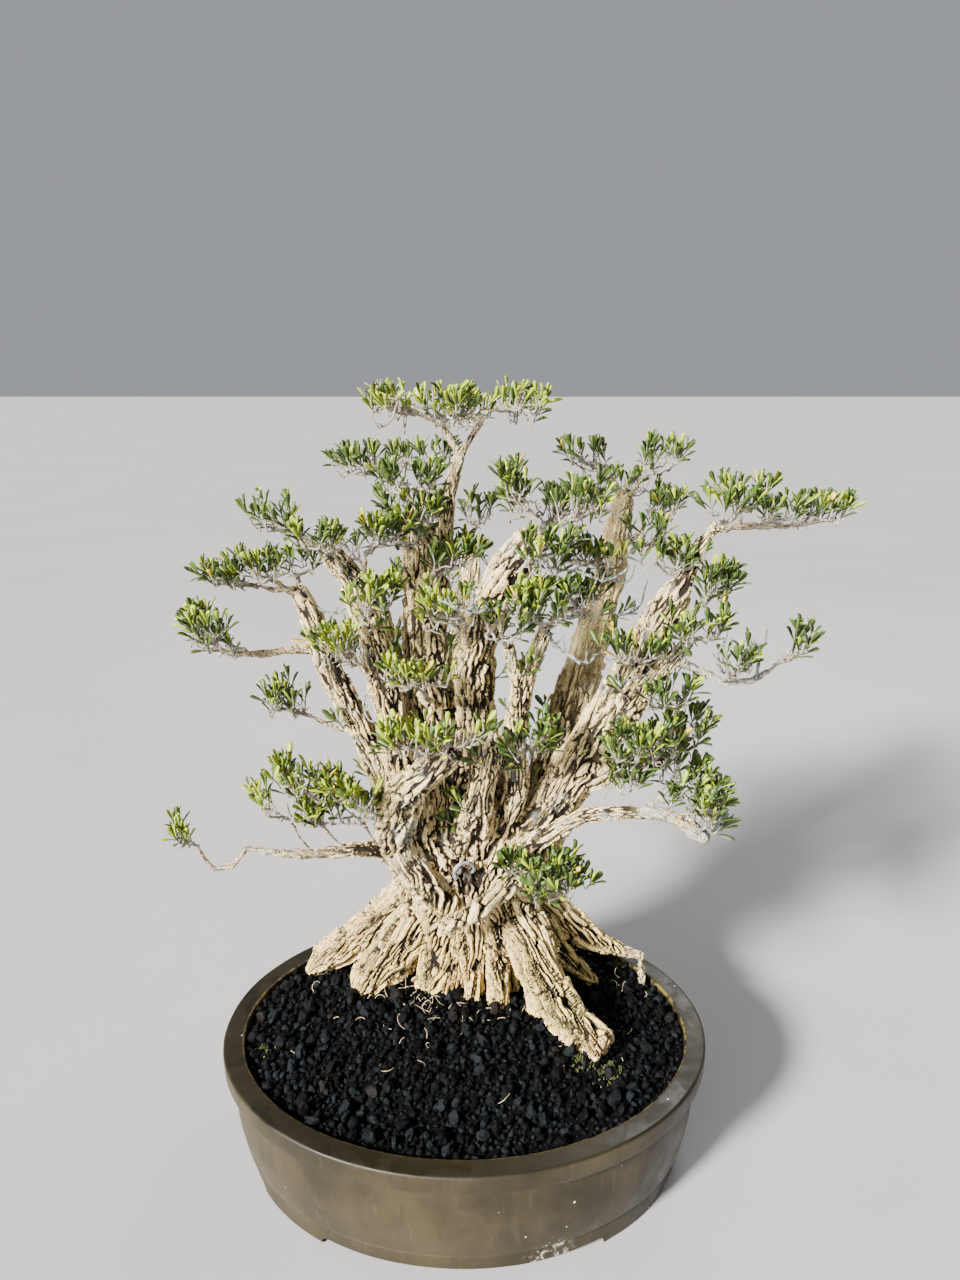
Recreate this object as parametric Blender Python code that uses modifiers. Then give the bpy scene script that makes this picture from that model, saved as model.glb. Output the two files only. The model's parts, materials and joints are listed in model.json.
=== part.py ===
"""Boxwood bonsai in an oval pot: metres, +Z up, the pot's feet standing on Z = 0.

The pot holds a mound of gritty soil, with a screen over each drain hole. The tree is one piece, grown
from many limbs on a short pleated trunk: its roots end on the mound and its core stands in a plain hole.
Each spray is a leafy twig of its own, which carries on from the cut end of a branchlet of the tree.
Lengths are worked out round the pot's own centre, and every object is then placed by POT_CENTRE.
"""

import math
import random

import bmesh
import bpy
from mathutils import Matrix, Vector
from mathutils.bvhtree import BVHTree

# Driving dimensions
POT_LENGTH = 0.440
POT_WIDTH = 0.352
POT_HEIGHT = 0.120
LIP_WIDTH = 0.019
LIP_HEIGHT = 0.018
LIP_OVERHANG = 0.009
LIP_ROUND = 0.003
BODY_TAPER = 0.007
FOOT_BAND_HEIGHT = 0.022
FOOT_BAND_INSET = 0.003
FOOT_WIDTH = 0.014
FOOT_CLEARANCE = 0.008
UNDERSIDE_HEIGHT = 0.009
FLOOR_HEIGHT = 0.020
WALL_SLOPE = 0.009
POT_STEPS = 32
POT_CENTRE = Vector((-0.027, -0.037, 0.0))

FRONT_ARCH_LENGTH = 0.235
END_ARCH_LENGTH = 0.150
DRAIN_HOLE_DIAMETER = 0.026
DRAIN_HOLE_SPACING = 0.180
SCREEN_SIZE = 0.044
SCREEN_THICKNESS = 0.0012
SCREEN_CELLS = 3
SCREEN_BAR = 0.003

SOIL_EDGE_HEIGHT = 0.112
SOIL_RISE = 0.021
MOUND_CENTRE_Y = 0.020
MOUND_LENGTH = 0.400
MOUND_WIDTH = 0.310
SOCKET_DIAMETER = 0.060
SOCKET_BOTTOM = 0.095

TRUNK_SIDES = 20
PLEAT_DEPTH = 0.0024
BRANCHLET_START_RADIUS = 0.0042
BRANCHLET_END_RADIUS = 0.0022
BRANCHLET_SAG = 0.08
TWIG_RADIUS = 0.0019
TWIG_TIP_RADIUS = 0.0012
SHOOT_RADIUS = 0.0013
SHOOT_LENGTH = 0.013
SHOOT_SPACING = 0.0100
SHOOT_COUNT = (3, 4)
SHOOT_FORWARD = 0.5
SHOOT_TURN_DEGREES = (25, 45)
NODE_LENGTH = 0.0026
PATH_STIFFNESS = 0.35
TIP_UPRIGHTNESS = 1.6
BLADE_LENGTH = 0.0180
BLADE_WIDTH = 0.0064
BLADE_THICKNESS = 0.0009
WIDEST_SHARE = 0.58
OPENING_DEGREES = (20, 34)
BLADE_ROOM = 0.0004
REACH_TO_TEST = 0.045

GAP = 0.0003
TUBE_UNIT = 0.01
WELD_DISTANCE = 0.000002

# Trunk sections from below the soil to where the limbs part: height, centre x and y, half length, half width
TRUNK_SECTIONS = [
    (0.100, 0.004, 0.070, 0.070, 0.056),
    (0.134, 0.004, 0.068, 0.066, 0.053),
    (0.168, 0.004, 0.066, 0.061, 0.048),
    (0.205, 0.006, 0.065, 0.063, 0.046),
    (0.245, 0.004, 0.064, 0.070, 0.047),
    (0.282, 0.004, 0.064, 0.073, 0.044),
    (0.315, 0.006, 0.066, 0.058, 0.036),
    (0.338, 0.008, 0.068, 0.034, 0.022),
]

# Roots and limbs, each a list of x, y, z and radius from its thick end
ROOTS = {
    "left": [
        (-0.035, 0.068, 0.215, 0.027), (-0.082, 0.072, 0.180, 0.020), (-0.116, 0.075, 0.152, 0.016),
        (-0.138, 0.077, 0.136, 0.014), (-0.152, 0.078, 0.116, 0.011),
    ],
    "front_left": [
        (-0.038, 0.056, 0.200, 0.024), (-0.066, 0.048, 0.166, 0.022), (-0.088, 0.044, 0.140, 0.019),
        (-0.100, 0.042, 0.114, 0.013),
    ],
    "front_right": [
        (0.036, 0.048, 0.225, 0.026), (0.057, 0.022, 0.195, 0.021), (0.075, -0.008, 0.160, 0.018),
        (0.098, -0.032, 0.141, 0.016), (0.122, -0.050, 0.134, 0.014),
    ],
    "right": [
        (0.050, 0.068, 0.220, 0.024), (0.100, 0.067, 0.182, 0.015), (0.130, 0.065, 0.162, 0.009),
        (0.152, 0.062, 0.154, 0.005), (0.170, 0.059, 0.150, 0.0034), (0.174, 0.058, 0.112, 0.0028),
    ],
    "small_right": [
        (0.068, 0.050, 0.195, 0.014), (0.098, 0.044, 0.158, 0.008), (0.120, 0.050, 0.132, 0.006),
        (0.130, 0.054, 0.112, 0.004),
    ],
    "left_column": [
        (0.026, 0.034, 0.240, 0.014), (0.030, 0.020, 0.195, 0.010), (0.031, 0.010, 0.150, 0.009),
        (0.032, 0.006, 0.112, 0.008),
    ],
    "right_column": [
        (0.052, 0.034, 0.230, 0.014), (0.060, 0.014, 0.180, 0.011), (0.066, 0.004, 0.140, 0.009),
        (0.068, 0.002, 0.112, 0.008),
    ],
    "back_left": [
        (-0.030, 0.086, 0.205, 0.026), (-0.058, 0.102, 0.165, 0.019), (-0.078, 0.113, 0.134, 0.014),
        (-0.086, 0.118, 0.110, 0.010),
    ],
    "back_right": [
        (0.036, 0.088, 0.205, 0.024), (0.062, 0.104, 0.165, 0.017), (0.082, 0.114, 0.132, 0.012),
        (0.090, 0.118, 0.110, 0.009),
    ],
}

LIMBS = {
    "far_left": [
        (-0.040, 0.062, 0.245, 0.024), (-0.058, 0.056, 0.285, 0.018), (-0.070, 0.060, 0.335, 0.015),
        (-0.099, 0.070, 0.392, 0.0125), (-0.123, 0.078, 0.441, 0.0115), (-0.137, 0.082, 0.486, 0.0100),
        (-0.149, 0.084, 0.512, 0.0070),
    ],
    "far_left_side": [
        (-0.124, 0.079, 0.456, 0.0060), (-0.151, 0.072, 0.460, 0.0044), (-0.179, 0.062, 0.458, 0.0036),
        (-0.203, 0.052, 0.460, 0.0028),
    ],
    "second_left": [
        (-0.028, 0.046, 0.250, 0.024), (-0.051, 0.038, 0.347, 0.0165), (-0.066, 0.032, 0.426, 0.0140),
        (-0.075, 0.026, 0.482, 0.0120), (-0.091, 0.020, 0.535, 0.0105), (-0.108, 0.018, 0.558, 0.0090),
    ],
    "central": [
        (-0.010, 0.062, 0.264, 0.030), (-0.022, 0.060, 0.347, 0.0240), (-0.031, 0.058, 0.425, 0.0205),
        (-0.034, 0.056, 0.500, 0.0185), (-0.036, 0.054, 0.566, 0.0160),
    ],
    "leader": [
        (-0.028, 0.052, 0.505, 0.0120), (-0.016, 0.044, 0.564, 0.0074), (-0.012, 0.042, 0.602, 0.0060),
        (-0.001, 0.042, 0.640, 0.0046),
    ],
    "leader_left": [
        (-0.002, 0.042, 0.634, 0.0036), (-0.018, 0.040, 0.660, 0.0028), (-0.030, 0.038, 0.665, 0.0024),
    ],
    "leader_right": [
        (-0.002, 0.042, 0.634, 0.0036), (0.014, 0.046, 0.660, 0.0028), (0.020, 0.048, 0.668, 0.0024),
    ],
    "inner": [
        (0.004, 0.070, 0.248, 0.029), (0.007, 0.066, 0.334, 0.0225), (0.010, 0.058, 0.406, 0.0190),
        (0.007, 0.044, 0.463, 0.0180), (0.024, 0.028, 0.516, 0.0160), (0.047, 0.020, 0.556, 0.0140),
        (0.057, 0.018, 0.572, 0.0120),
    ],
    "fork": [
        (0.032, 0.046, 0.276, 0.0150), (0.047, 0.028, 0.340, 0.0110), (0.043, 0.018, 0.400, 0.0095),
        (0.052, 0.016, 0.453, 0.0090), (0.069, 0.014, 0.495, 0.0065),
    ],
    "fork_left": [(0.049, 0.016, 0.436, 0.0075), (0.037, 0.002, 0.485, 0.0050)],
    "rear_left": [
        (-0.012, 0.082, 0.240, 0.0240), (-0.045, 0.118, 0.320, 0.0180), (-0.070, 0.146, 0.395, 0.0145),
        (-0.086, 0.166, 0.465, 0.0110), (-0.094, 0.176, 0.500, 0.0080),
    ],
    "right_back": [
        (0.048, 0.080, 0.235, 0.031), (0.078, 0.102, 0.275, 0.0265), (0.090, 0.125, 0.328, 0.0230),
        (0.108, 0.145, 0.394, 0.0195), (0.130, 0.160, 0.462, 0.0160), (0.144, 0.168, 0.520, 0.0135),
        (0.152, 0.172, 0.583, 0.0105),
    ],
    "right_front": [
        (0.040, 0.054, 0.245, 0.030), (0.076, 0.042, 0.315, 0.0225), (0.110, 0.034, 0.378, 0.0200),
        (0.138, 0.026, 0.437, 0.0185), (0.156, 0.020, 0.484, 0.0165), (0.177, 0.012, 0.533, 0.0120),
        (0.190, 0.008, 0.567, 0.0088), (0.203, 0.006, 0.584, 0.0065),
    ],
    "right_front_fork": [
        (0.122, 0.024, 0.392, 0.0130), (0.142, 0.008, 0.430, 0.0100), (0.166, 0.000, 0.466, 0.0080),
        (0.184, -0.004, 0.491, 0.0055),
    ],
    "right_front_end": [
        (0.197, 0.007, 0.578, 0.0055), (0.226, 0.001, 0.583, 0.0040), (0.250, -0.006, 0.584, 0.0028),
    ],
    "right_mid": [
        (0.172, -0.002, 0.474, 0.0055), (0.192, -0.007, 0.466, 0.0040), (0.212, -0.012, 0.457, 0.0034),
        (0.234, -0.017, 0.461, 0.0030), (0.246, -0.020, 0.470, 0.0026),
    ],
    "right_stub": [(0.098, 0.036, 0.346, 0.0140), (0.132, 0.018, 0.366, 0.0090)],
    "right_low": [
        (0.036, 0.040, 0.262, 0.0130), (0.071, 0.008, 0.308, 0.0078), (0.104, -0.004, 0.334, 0.0066),
        (0.137, -0.012, 0.341, 0.0060), (0.160, -0.017, 0.341, 0.0052),
    ],
    "front_stub": [
        (0.007, 0.044, 0.280, 0.0160), (0.012, 0.016, 0.333, 0.0138), (0.024, -0.004, 0.406, 0.0108),
    ],
    "cut_limb": [
        (-0.050, 0.052, 0.255, 0.0200), (-0.063, 0.018, 0.306, 0.0170), (-0.050, 0.000, 0.355, 0.0155),
        (-0.008, -0.014, 0.400, 0.0125),
    ],
    "back": [
        (0.000, 0.086, 0.235, 0.0280), (-0.006, 0.115, 0.320, 0.0215), (-0.008, 0.135, 0.400, 0.0165),
        (0.000, 0.148, 0.470, 0.0125), (0.005, 0.154, 0.530, 0.0085),
    ],
    "low_left": [
        (-0.050, 0.050, 0.272, 0.0110), (-0.102, 0.020, 0.287, 0.0062), (-0.145, 0.008, 0.289, 0.0046),
        (-0.170, 0.002, 0.296, 0.0036), (-0.190, 0.000, 0.300, 0.0030), (-0.202, -0.002, 0.284, 0.0026),
        (-0.218, -0.004, 0.281, 0.0024), (-0.228, -0.006, 0.298, 0.0022),
    ],
    "front_low": [(0.050, 0.036, 0.246, 0.0090), (0.066, 0.004, 0.264, 0.0052)],
}

# Sprays: the limb each grows from, how far along it (0 to 1), where its own twig begins, and where that ends
SPRAYS = {
    "crown_left": ("leader_left", 1.0, (-0.036, 0.036, 0.668), (-0.068, 0.030, 0.672)),
    "crown_front": ("leader_left", 0.6, (-0.014, 0.026, 0.662), (-0.018, 0.004, 0.672)),
    "crown_right": ("leader_right", 1.0, (0.026, 0.050, 0.670), (0.060, 0.056, 0.670)),
    "crown_back": ("leader_right", 0.6, (0.014, 0.064, 0.656), (0.010, 0.092, 0.664)),
    "upper_left_tip": ("leader", 0.55, (-0.060, 0.056, 0.612), (-0.102, 0.062, 0.626)),
    "upper_left_front": ("leader", 0.60, (-0.034, 0.022, 0.606), (-0.048, -0.006, 0.618)),
    "upper_left_back": ("leader", 0.65, (-0.030, 0.078, 0.612), (-0.040, 0.112, 0.622)),
    "second_left_tip": ("second_left", 1.0, (-0.126, 0.014, 0.570), (-0.166, 0.008, 0.590)),
    "second_left_front": ("second_left", 0.90, (-0.102, -0.002, 0.562), (-0.114, -0.032, 0.576)),
    "second_left_inner": ("second_left", 0.85, (-0.078, 0.010, 0.558), (-0.054, 0.002, 0.580)),
    "far_left_tip": ("far_left", 1.0, (-0.184, 0.086, 0.514), (-0.230, 0.084, 0.522)),
    "far_left_front": ("far_left", 0.98, (-0.164, 0.068, 0.522), (-0.186, 0.044, 0.538)),
    "far_left_back": ("far_left", 0.92, (-0.152, 0.108, 0.512), (-0.164, 0.142, 0.524)),
    "far_left_side": ("far_left_side", 1.0, (-0.206, 0.050, 0.464), (-0.236, 0.040, 0.482)),
    "far_left_low": ("far_left", 0.50, (-0.138, 0.064, 0.398), (-0.162, 0.058, 0.422)),
    "front_left_upper": ("second_left", 0.72, (-0.084, 0.000, 0.512), (-0.064, -0.022, 0.528)),
    "front_left_lower": ("second_left", 0.60, (-0.094, 0.008, 0.476), (-0.112, -0.010, 0.492)),
    "front_mid_upper": ("central", 0.50, (-0.034, 0.010, 0.444), (-0.040, -0.018, 0.462)),
    "front_mid_lower": ("cut_limb", 0.85, (-0.030, -0.026, 0.400), (-0.044, -0.044, 0.418)),
    "cut_limb_top": ("cut_limb", 1.0, (0.002, -0.024, 0.408), (0.014, -0.044, 0.424)),
    "cross_left": ("inner", 0.62, (0.000, 0.004, 0.506), (-0.022, -0.018, 0.520)),
    "cross_right": ("inner", 0.68, (0.034, -0.004, 0.516), (0.058, -0.024, 0.526)),
    "inner_top": ("inner", 1.0, (0.058, 0.016, 0.586), (0.046, 0.010, 0.620)),
    "inner_right": ("inner", 0.97, (0.078, 0.014, 0.582), (0.112, 0.008, 0.602)),
    "inner_front": ("inner", 0.88, (0.052, -0.006, 0.556), (0.074, -0.032, 0.568)),
    "inner_back": ("inner", 0.92, (0.066, 0.044, 0.572), (0.082, 0.074, 0.588)),
    "fork_top": ("fork", 1.0, (0.076, 0.010, 0.508), (0.094, -0.008, 0.528)),
    "fork_low": ("fork", 0.48, (0.050, -0.006, 0.396), (0.064, -0.028, 0.410)),
    "rear_left_tip": ("rear_left", 1.0, (-0.104, 0.184, 0.514), (-0.138, 0.196, 0.530)),
    "rear_left_side": ("rear_left", 0.75, (-0.058, 0.184, 0.478), (-0.042, 0.214, 0.494)),
    "rear_left_low": ("rear_left", 0.50, (-0.092, 0.160, 0.408), (-0.124, 0.176, 0.424)),
    "right_back_left": ("right_back", 1.0, (0.138, 0.173, 0.602), (0.098, 0.176, 0.624)),
    "right_back_right": ("right_back", 0.98, (0.168, 0.176, 0.598), (0.204, 0.180, 0.622)),
    "right_back_side": ("right_back", 0.85, (0.172, 0.162, 0.556), (0.202, 0.156, 0.578)),
    "right_back_rear": ("right_back", 0.90, (0.158, 0.202, 0.572), (0.168, 0.236, 0.584)),
    "right_back_front": ("right_back", 0.78, (0.122, 0.128, 0.524), (0.102, 0.090, 0.538)),
    "right_front_tip": ("right_front_end", 1.0, (0.256, -0.008, 0.585), (0.290, -0.016, 0.590)),
    "right_front_mid": ("right_front_end", 0.60, (0.232, -0.016, 0.588), (0.244, -0.038, 0.598)),
    "right_front_near": ("right_front", 0.97, (0.202, -0.012, 0.588), (0.206, -0.036, 0.600)),
    "right_front_rear": ("right_front_end", 0.45, (0.224, 0.024, 0.590), (0.236, 0.052, 0.600)),
    "right_front_side": ("right_front", 0.74, (0.190, 0.002, 0.518), (0.206, -0.010, 0.544)),
    "right_mid_near": ("right_mid", 0.50, (0.212, -0.024, 0.466), (0.218, -0.038, 0.486)),
    "right_mid_tip": ("right_mid", 1.0, (0.250, -0.022, 0.476), (0.262, -0.028, 0.498)),
    "right_under_front": ("right_front_fork", 0.35, (0.152, -0.006, 0.398), (0.150, -0.028, 0.410)),
    "right_under_side": ("right_front", 0.48, (0.168, 0.014, 0.396), (0.192, 0.002, 0.414)),
    "right_low_tip": ("right_low", 1.0, (0.182, -0.021, 0.336), (0.214, -0.026, 0.354)),
    "right_low_top": ("right_low", 0.90, (0.166, -0.008, 0.352), (0.188, -0.002, 0.372)),
    "low_left_outer": ("low_left", 0.45, (-0.150, 0.000, 0.326), (-0.174, -0.004, 0.352)),
    "low_left_mid": ("low_left", 0.30, (-0.124, 0.008, 0.318), (-0.118, -0.010, 0.344)),
    "low_left_tip": ("low_left", 1.0, (-0.229, -0.006, 0.303), (-0.231, -0.007, 0.318)),
    "low_left_near": ("low_left", 0.14, (-0.090, 0.016, 0.318), (-0.080, -0.004, 0.340)),
    "front_low": ("front_low", 1.0, (0.070, -0.012, 0.268), (0.088, -0.042, 0.278)),
    "back_top": ("back", 1.0, (0.006, 0.156, 0.544), (0.004, 0.154, 0.578)),
    "back_left": ("back", 0.75, (-0.034, 0.164, 0.486), (-0.060, 0.182, 0.504)),
    "back_right": ("back", 0.60, (0.030, 0.160, 0.440), (0.050, 0.186, 0.458)),
}

SPECIES_SEED = 7


def make_material(name, colour, roughness):
    material = bpy.data.materials.new(name)
    material.use_nodes = True
    shader = material.node_tree.nodes["Principled BSDF"]
    shader.inputs["Base Color"].default_value = (*colour, 1.0)
    shader.inputs["Roughness"].default_value = roughness
    shader.inputs["Metallic"].default_value = 0.0
    return material


def add_object(name, data):
    thing = bpy.data.objects.new(name, data)
    bpy.context.scene.collection.objects.link(thing)
    return thing


def evaluated_copy(thing):
    """The object's shape with its modifiers, as a plain mesh."""
    depsgraph = bpy.context.evaluated_depsgraph_get()
    depsgraph.update()
    return bpy.data.meshes.new_from_object(thing.evaluated_get(depsgraph))


def apply_modifiers(thing):
    mesh = evaluated_copy(thing)
    thing.modifiers.clear()
    thing.data = mesh


def object_from_bmesh(name, work):
    mesh = bpy.data.meshes.new(name)
    bmesh.ops.recalc_face_normals(work, faces=work.faces)
    work.to_mesh(mesh)
    work.free()
    return add_object(name, mesh)


def split_in_triangles(thing):
    work = bmesh.new()
    work.from_mesh(thing.data)
    bmesh.ops.triangulate(work, faces=work.faces, quad_method="FIXED")
    work.to_mesh(thing.data)
    work.free()


def boolean(thing, cutter, operation):
    """Cuts or joins the object by another, which is then removed."""
    modifier = thing.modifiers.new(operation, "BOOLEAN")
    modifier.operation = operation
    modifier.object = cutter
    modifier.solver = "EXACT"
    apply_modifiers(thing)
    bpy.data.objects.remove(cutter)


def keep_largest_body(thing):
    """Drops loose scraps and leaves triangles."""
    work = bmesh.new()
    work.from_mesh(thing.data)
    bmesh.ops.remove_doubles(work, verts=work.verts, dist=WELD_DISTANCE)
    bmesh.ops.dissolve_degenerate(work, edges=work.edges, dist=WELD_DISTANCE)
    bmesh.ops.triangulate(work, faces=work.faces)
    unseen = set(work.verts)
    bodies = []
    while unseen:
        stack = [unseen.pop()]
        body = []
        while stack:
            vertex = stack.pop()
            body.append(vertex)
            for edge in vertex.link_edges:
                neighbour = edge.other_vert(vertex)
                if neighbour in unseen:
                    unseen.remove(neighbour)
                    stack.append(neighbour)
        bodies.append(body)
    bodies.sort(key=len)
    scraps = [vertex for body in bodies[:-1] for vertex in body]
    bmesh.ops.delete(work, geom=scraps, context="VERTS")
    work.to_mesh(thing.data)
    work.free()


def fuse(name, pieces):
    """Joins overlapping closed pieces in one body by one union on their collection."""
    first, rest = pieces[0], pieces[1:]
    group = bpy.data.collections.new(name)
    for piece in rest:
        group.objects.link(piece)
    modifier = first.modifiers.new("Union", "BOOLEAN")
    modifier.operation = "UNION"
    modifier.operand_type = "COLLECTION"
    modifier.collection = group
    modifier.solver = "MANIFOLD"
    apply_modifiers(first)
    for piece in rest:
        bpy.data.objects.remove(piece)
    bpy.data.collections.remove(group)
    first.name = name
    keep_largest_body(first)
    return first


def squeeze_to_oval(thing):
    """Draws a round turned shape in along Y, with the same width of wall and lip all round."""
    narrowing = (POT_LENGTH - POT_WIDTH) / 2
    wall_radius = 0.7 * POT_LENGTH / 2
    for vertex in thing.data.vertices:
        radius = math.hypot(vertex.co.x, vertex.co.y)
        if radius > 0:
            vertex.co.y *= 1 - narrowing / max(radius, wall_radius)


def turned(name, profile):
    """A closed solid turned from an (radius, height) outline that runs down its outer side."""
    work = bmesh.new()
    points = [work.verts.new((radius, 0.0, height)) for radius, height in profile]
    for start, end in zip(points, points[1:]):
        work.edges.new((start, end))
    if profile[0][0] > 0:
        work.edges.new((points[-1], points[0]))
    mesh = bpy.data.meshes.new(name)
    work.to_mesh(mesh)
    work.free()
    thing = add_object(name, mesh)
    screw = thing.modifiers.new("Turn", "SCREW")
    screw.steps = POT_STEPS
    screw.render_steps = POT_STEPS
    screw.use_merge_vertices = True
    screw.merge_threshold = 0.0001
    apply_modifiers(thing)
    return thing


def inner_wall_radius(height):
    """The pot's inside half length at a height, before its oval is drawn in."""
    share = (height - FLOOR_HEIGHT) / (POT_HEIGHT - FLOOR_HEIGHT)
    return POT_LENGTH / 2 - LIP_WIDTH - WALL_SLOPE * (1 - share)


def pot_profile():
    outer = POT_LENGTH / 2
    lip_bottom = POT_HEIGHT - LIP_HEIGHT
    body = outer - LIP_OVERHANG
    body_foot = body - BODY_TAPER
    foot = body_foot - FOOT_BAND_INSET
    return [
        (outer - LIP_ROUND, POT_HEIGHT),
        (outer, POT_HEIGHT - LIP_ROUND),
        (outer - 0.0005, lip_bottom),
        (body, lip_bottom - 0.001),
        (body - 0.001, 0.5 * POT_HEIGHT),
        (body_foot, FOOT_BAND_HEIGHT + 0.002),
        (foot, FOOT_BAND_HEIGHT),
        (foot - 0.001, 0.0),
        (foot - FOOT_WIDTH, 0.0),
        (foot - FOOT_WIDTH, UNDERSIDE_HEIGHT),
        (0.0, UNDERSIDE_HEIGHT),
        (0.0, FLOOR_HEIGHT),
        (inner_wall_radius(FLOOR_HEIGHT), FLOOR_HEIGHT),
        (inner_wall_radius(POT_HEIGHT), POT_HEIGHT),
    ]


def box(name, size, centre):
    work = bmesh.new()
    bmesh.ops.create_cube(work, size=1.0)
    bmesh.ops.scale(work, vec=size, verts=work.verts)
    bmesh.ops.translate(work, vec=centre, verts=work.verts)
    return object_from_bmesh(name, work)


def cylinder(name, diameter, bottom, top, centre, sides):
    work = bmesh.new()
    bmesh.ops.create_cone(
        work, cap_ends=True, segments=sides, radius1=diameter / 2, radius2=diameter / 2, depth=top - bottom
    )
    bmesh.ops.translate(work, vec=(centre[0], centre[1], (top + bottom) / 2), verts=work.verts)
    return object_from_bmesh(name, work)


def foot_arch(name, size):
    """A shallow arch between two feet, rounded at its shoulders and open below."""
    arch = box(name, (size[0], size[1], 2 * FOOT_CLEARANCE), (0.0, 0.0, 0.0))
    bevel = arch.modifiers.new("Shoulders", "BEVEL")
    bevel.width = 0.6 * FOOT_CLEARANCE
    bevel.segments = 2
    bevel.limit_method = "ANGLE"
    apply_modifiers(arch)
    return arch


def drain_hole_centres():
    return [(-DRAIN_HOLE_SPACING / 2, 0.0), (DRAIN_HOLE_SPACING / 2, 0.0)]


def make_pot():
    pot = turned("pot", pot_profile())
    squeeze_to_oval(pot)
    boolean(pot, foot_arch("Front arch", (FRONT_ARCH_LENGTH, POT_WIDTH)), "DIFFERENCE")
    boolean(pot, foot_arch("End arch", (POT_LENGTH, END_ARCH_LENGTH)), "DIFFERENCE")
    for centre in drain_hole_centres():
        hole = cylinder("Drain hole", DRAIN_HOLE_DIAMETER, 0.0, 2 * FLOOR_HEIGHT, centre, 16)
        boolean(pot, hole, "DIFFERENCE")
    keep_largest_body(pot)
    return pot


def make_screen(name, centre):
    """A square of plastic mesh that lies on the floor over a drain hole."""
    bottom = FLOOR_HEIGHT + GAP
    middle = (centre[0], centre[1], bottom + SCREEN_THICKNESS / 2)
    screen = box(name, (SCREEN_SIZE, SCREEN_SIZE, SCREEN_THICKNESS), middle)
    pitch = (SCREEN_SIZE - SCREEN_BAR) / SCREEN_CELLS
    opening = pitch - SCREEN_BAR
    for row in range(SCREEN_CELLS):
        for column in range(SCREEN_CELLS):
            place = Vector((column - (SCREEN_CELLS - 1) / 2, row - (SCREEN_CELLS - 1) / 2, 0.0)) * pitch
            cell = box("Cell", (opening, opening, 3 * SCREEN_THICKNESS), place + Vector(middle))
            boolean(screen, cell, "DIFFERENCE")
    keep_largest_body(screen)
    return screen


def mound_height(x, y):
    """The soil rises from the pot's wall to the foot of the trunk."""
    away = (2 * x / MOUND_LENGTH) ** 2 + (2 * (y - MOUND_CENTRE_Y) / MOUND_WIDTH) ** 2
    return SOIL_EDGE_HEIGHT + SOIL_RISE * max(0.0, 1 - away)


def mound(name, lift):
    """The soil without its hollows, its top raised by a given lift and always split the same way."""
    bottom = FLOOR_HEIGHT + GAP
    edge = inner_wall_radius(SOIL_EDGE_HEIGHT) - GAP
    top_rings = [edge * share for share in (0.0, 0.3, 0.6, 0.85)]
    profile = [(radius, SOIL_EDGE_HEIGHT) for radius in top_rings]
    profile += [(edge, SOIL_EDGE_HEIGHT), (inner_wall_radius(bottom) - GAP, bottom), (0.0, bottom)]
    soil = turned(name, profile)
    squeeze_to_oval(soil)
    for vertex in soil.data.vertices:
        if vertex.co.z > (SOIL_EDGE_HEIGHT + bottom) / 2:
            vertex.co.z = mound_height(vertex.co.x, vertex.co.y) + lift
    split_in_triangles(soil)
    return soil


def make_soil():
    soil = mound("soil", 0.0)
    x, y = TRUNK_SECTIONS[0][1:3]
    socket = cylinder("Socket", SOCKET_DIAMETER, SOCKET_BOTTOM, 2 * POT_HEIGHT, (x, y), 16)
    boolean(soil, socket, "DIFFERENCE")
    for centre in drain_hole_centres():
        size = SCREEN_SIZE + 2 * GAP
        height = SCREEN_THICKNESS + 2 * GAP
        recess = box("Recess", (size, size, 2 * height), (centre[0], centre[1], FLOOR_HEIGHT + GAP))
        boolean(soil, recess, "DIFFERENCE")
    keep_largest_body(soil)
    return soil


def tube(name, route, sides_level):
    """A tapered tube through (x, y, z, radius) points, with flat ends: 4, 6 or 8 sides for levels 0 to 2."""
    curve = bpy.data.curves.new(name, "CURVE")
    curve.dimensions = "3D"
    curve.bevel_depth = TUBE_UNIT
    curve.bevel_resolution = sides_level
    curve.use_fill_caps = True
    spline = curve.splines.new("POLY")
    spline.points.add(len(route) - 1)
    for point, (x, y, z, radius) in zip(spline.points, route):
        point.co = (x, y, z, 1.0)
        point.radius = radius / TUBE_UNIT
    path = add_object(name, curve)
    work = bmesh.new()
    work.from_mesh(evaluated_copy(path))
    bmesh.ops.remove_doubles(work, verts=work.verts, dist=WELD_DISTANCE)
    solid = object_from_bmesh(name, work)
    bpy.data.objects.remove(path)
    return solid


def make_trunk():
    """A loft through the trunk's sections, pleated into upright ridges by every second corner."""
    work = bmesh.new()
    loops = []
    for height, x, y, half_length, half_width in TRUNK_SECTIONS:
        loop = []
        for side in range(TRUNK_SIDES):
            angle = 2 * math.pi * side / TRUNK_SIDES
            pleat = PLEAT_DEPTH if side % 2 else -PLEAT_DEPTH
            loop.append(
                work.verts.new(
                    (
                        x + (half_length + pleat) * math.cos(angle),
                        y + (half_width + pleat) * math.sin(angle),
                        height,
                    )
                )
            )
        loops.append(loop)
    for lower, upper in zip(loops, loops[1:]):
        for side in range(TRUNK_SIDES):
            after = (side + 1) % TRUNK_SIDES
            work.faces.new((lower[side], lower[after], upper[after], upper[side]))
    work.faces.new(loops[0][::-1])
    work.faces.new(loops[-1])
    return object_from_bmesh("Trunk", work)


def point_along(route, share):
    """The place a share of the way along a limb's middle line."""
    points = [Vector(point[:3]) for point in route]
    lengths = [(b - a).length for a, b in zip(points, points[1:])]
    left = share * sum(lengths)
    for start, end, length in zip(points, points[1:], lengths):
        if left <= length:
            return start.lerp(end, left / length)
        left -= length
    return points[-1]


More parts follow.
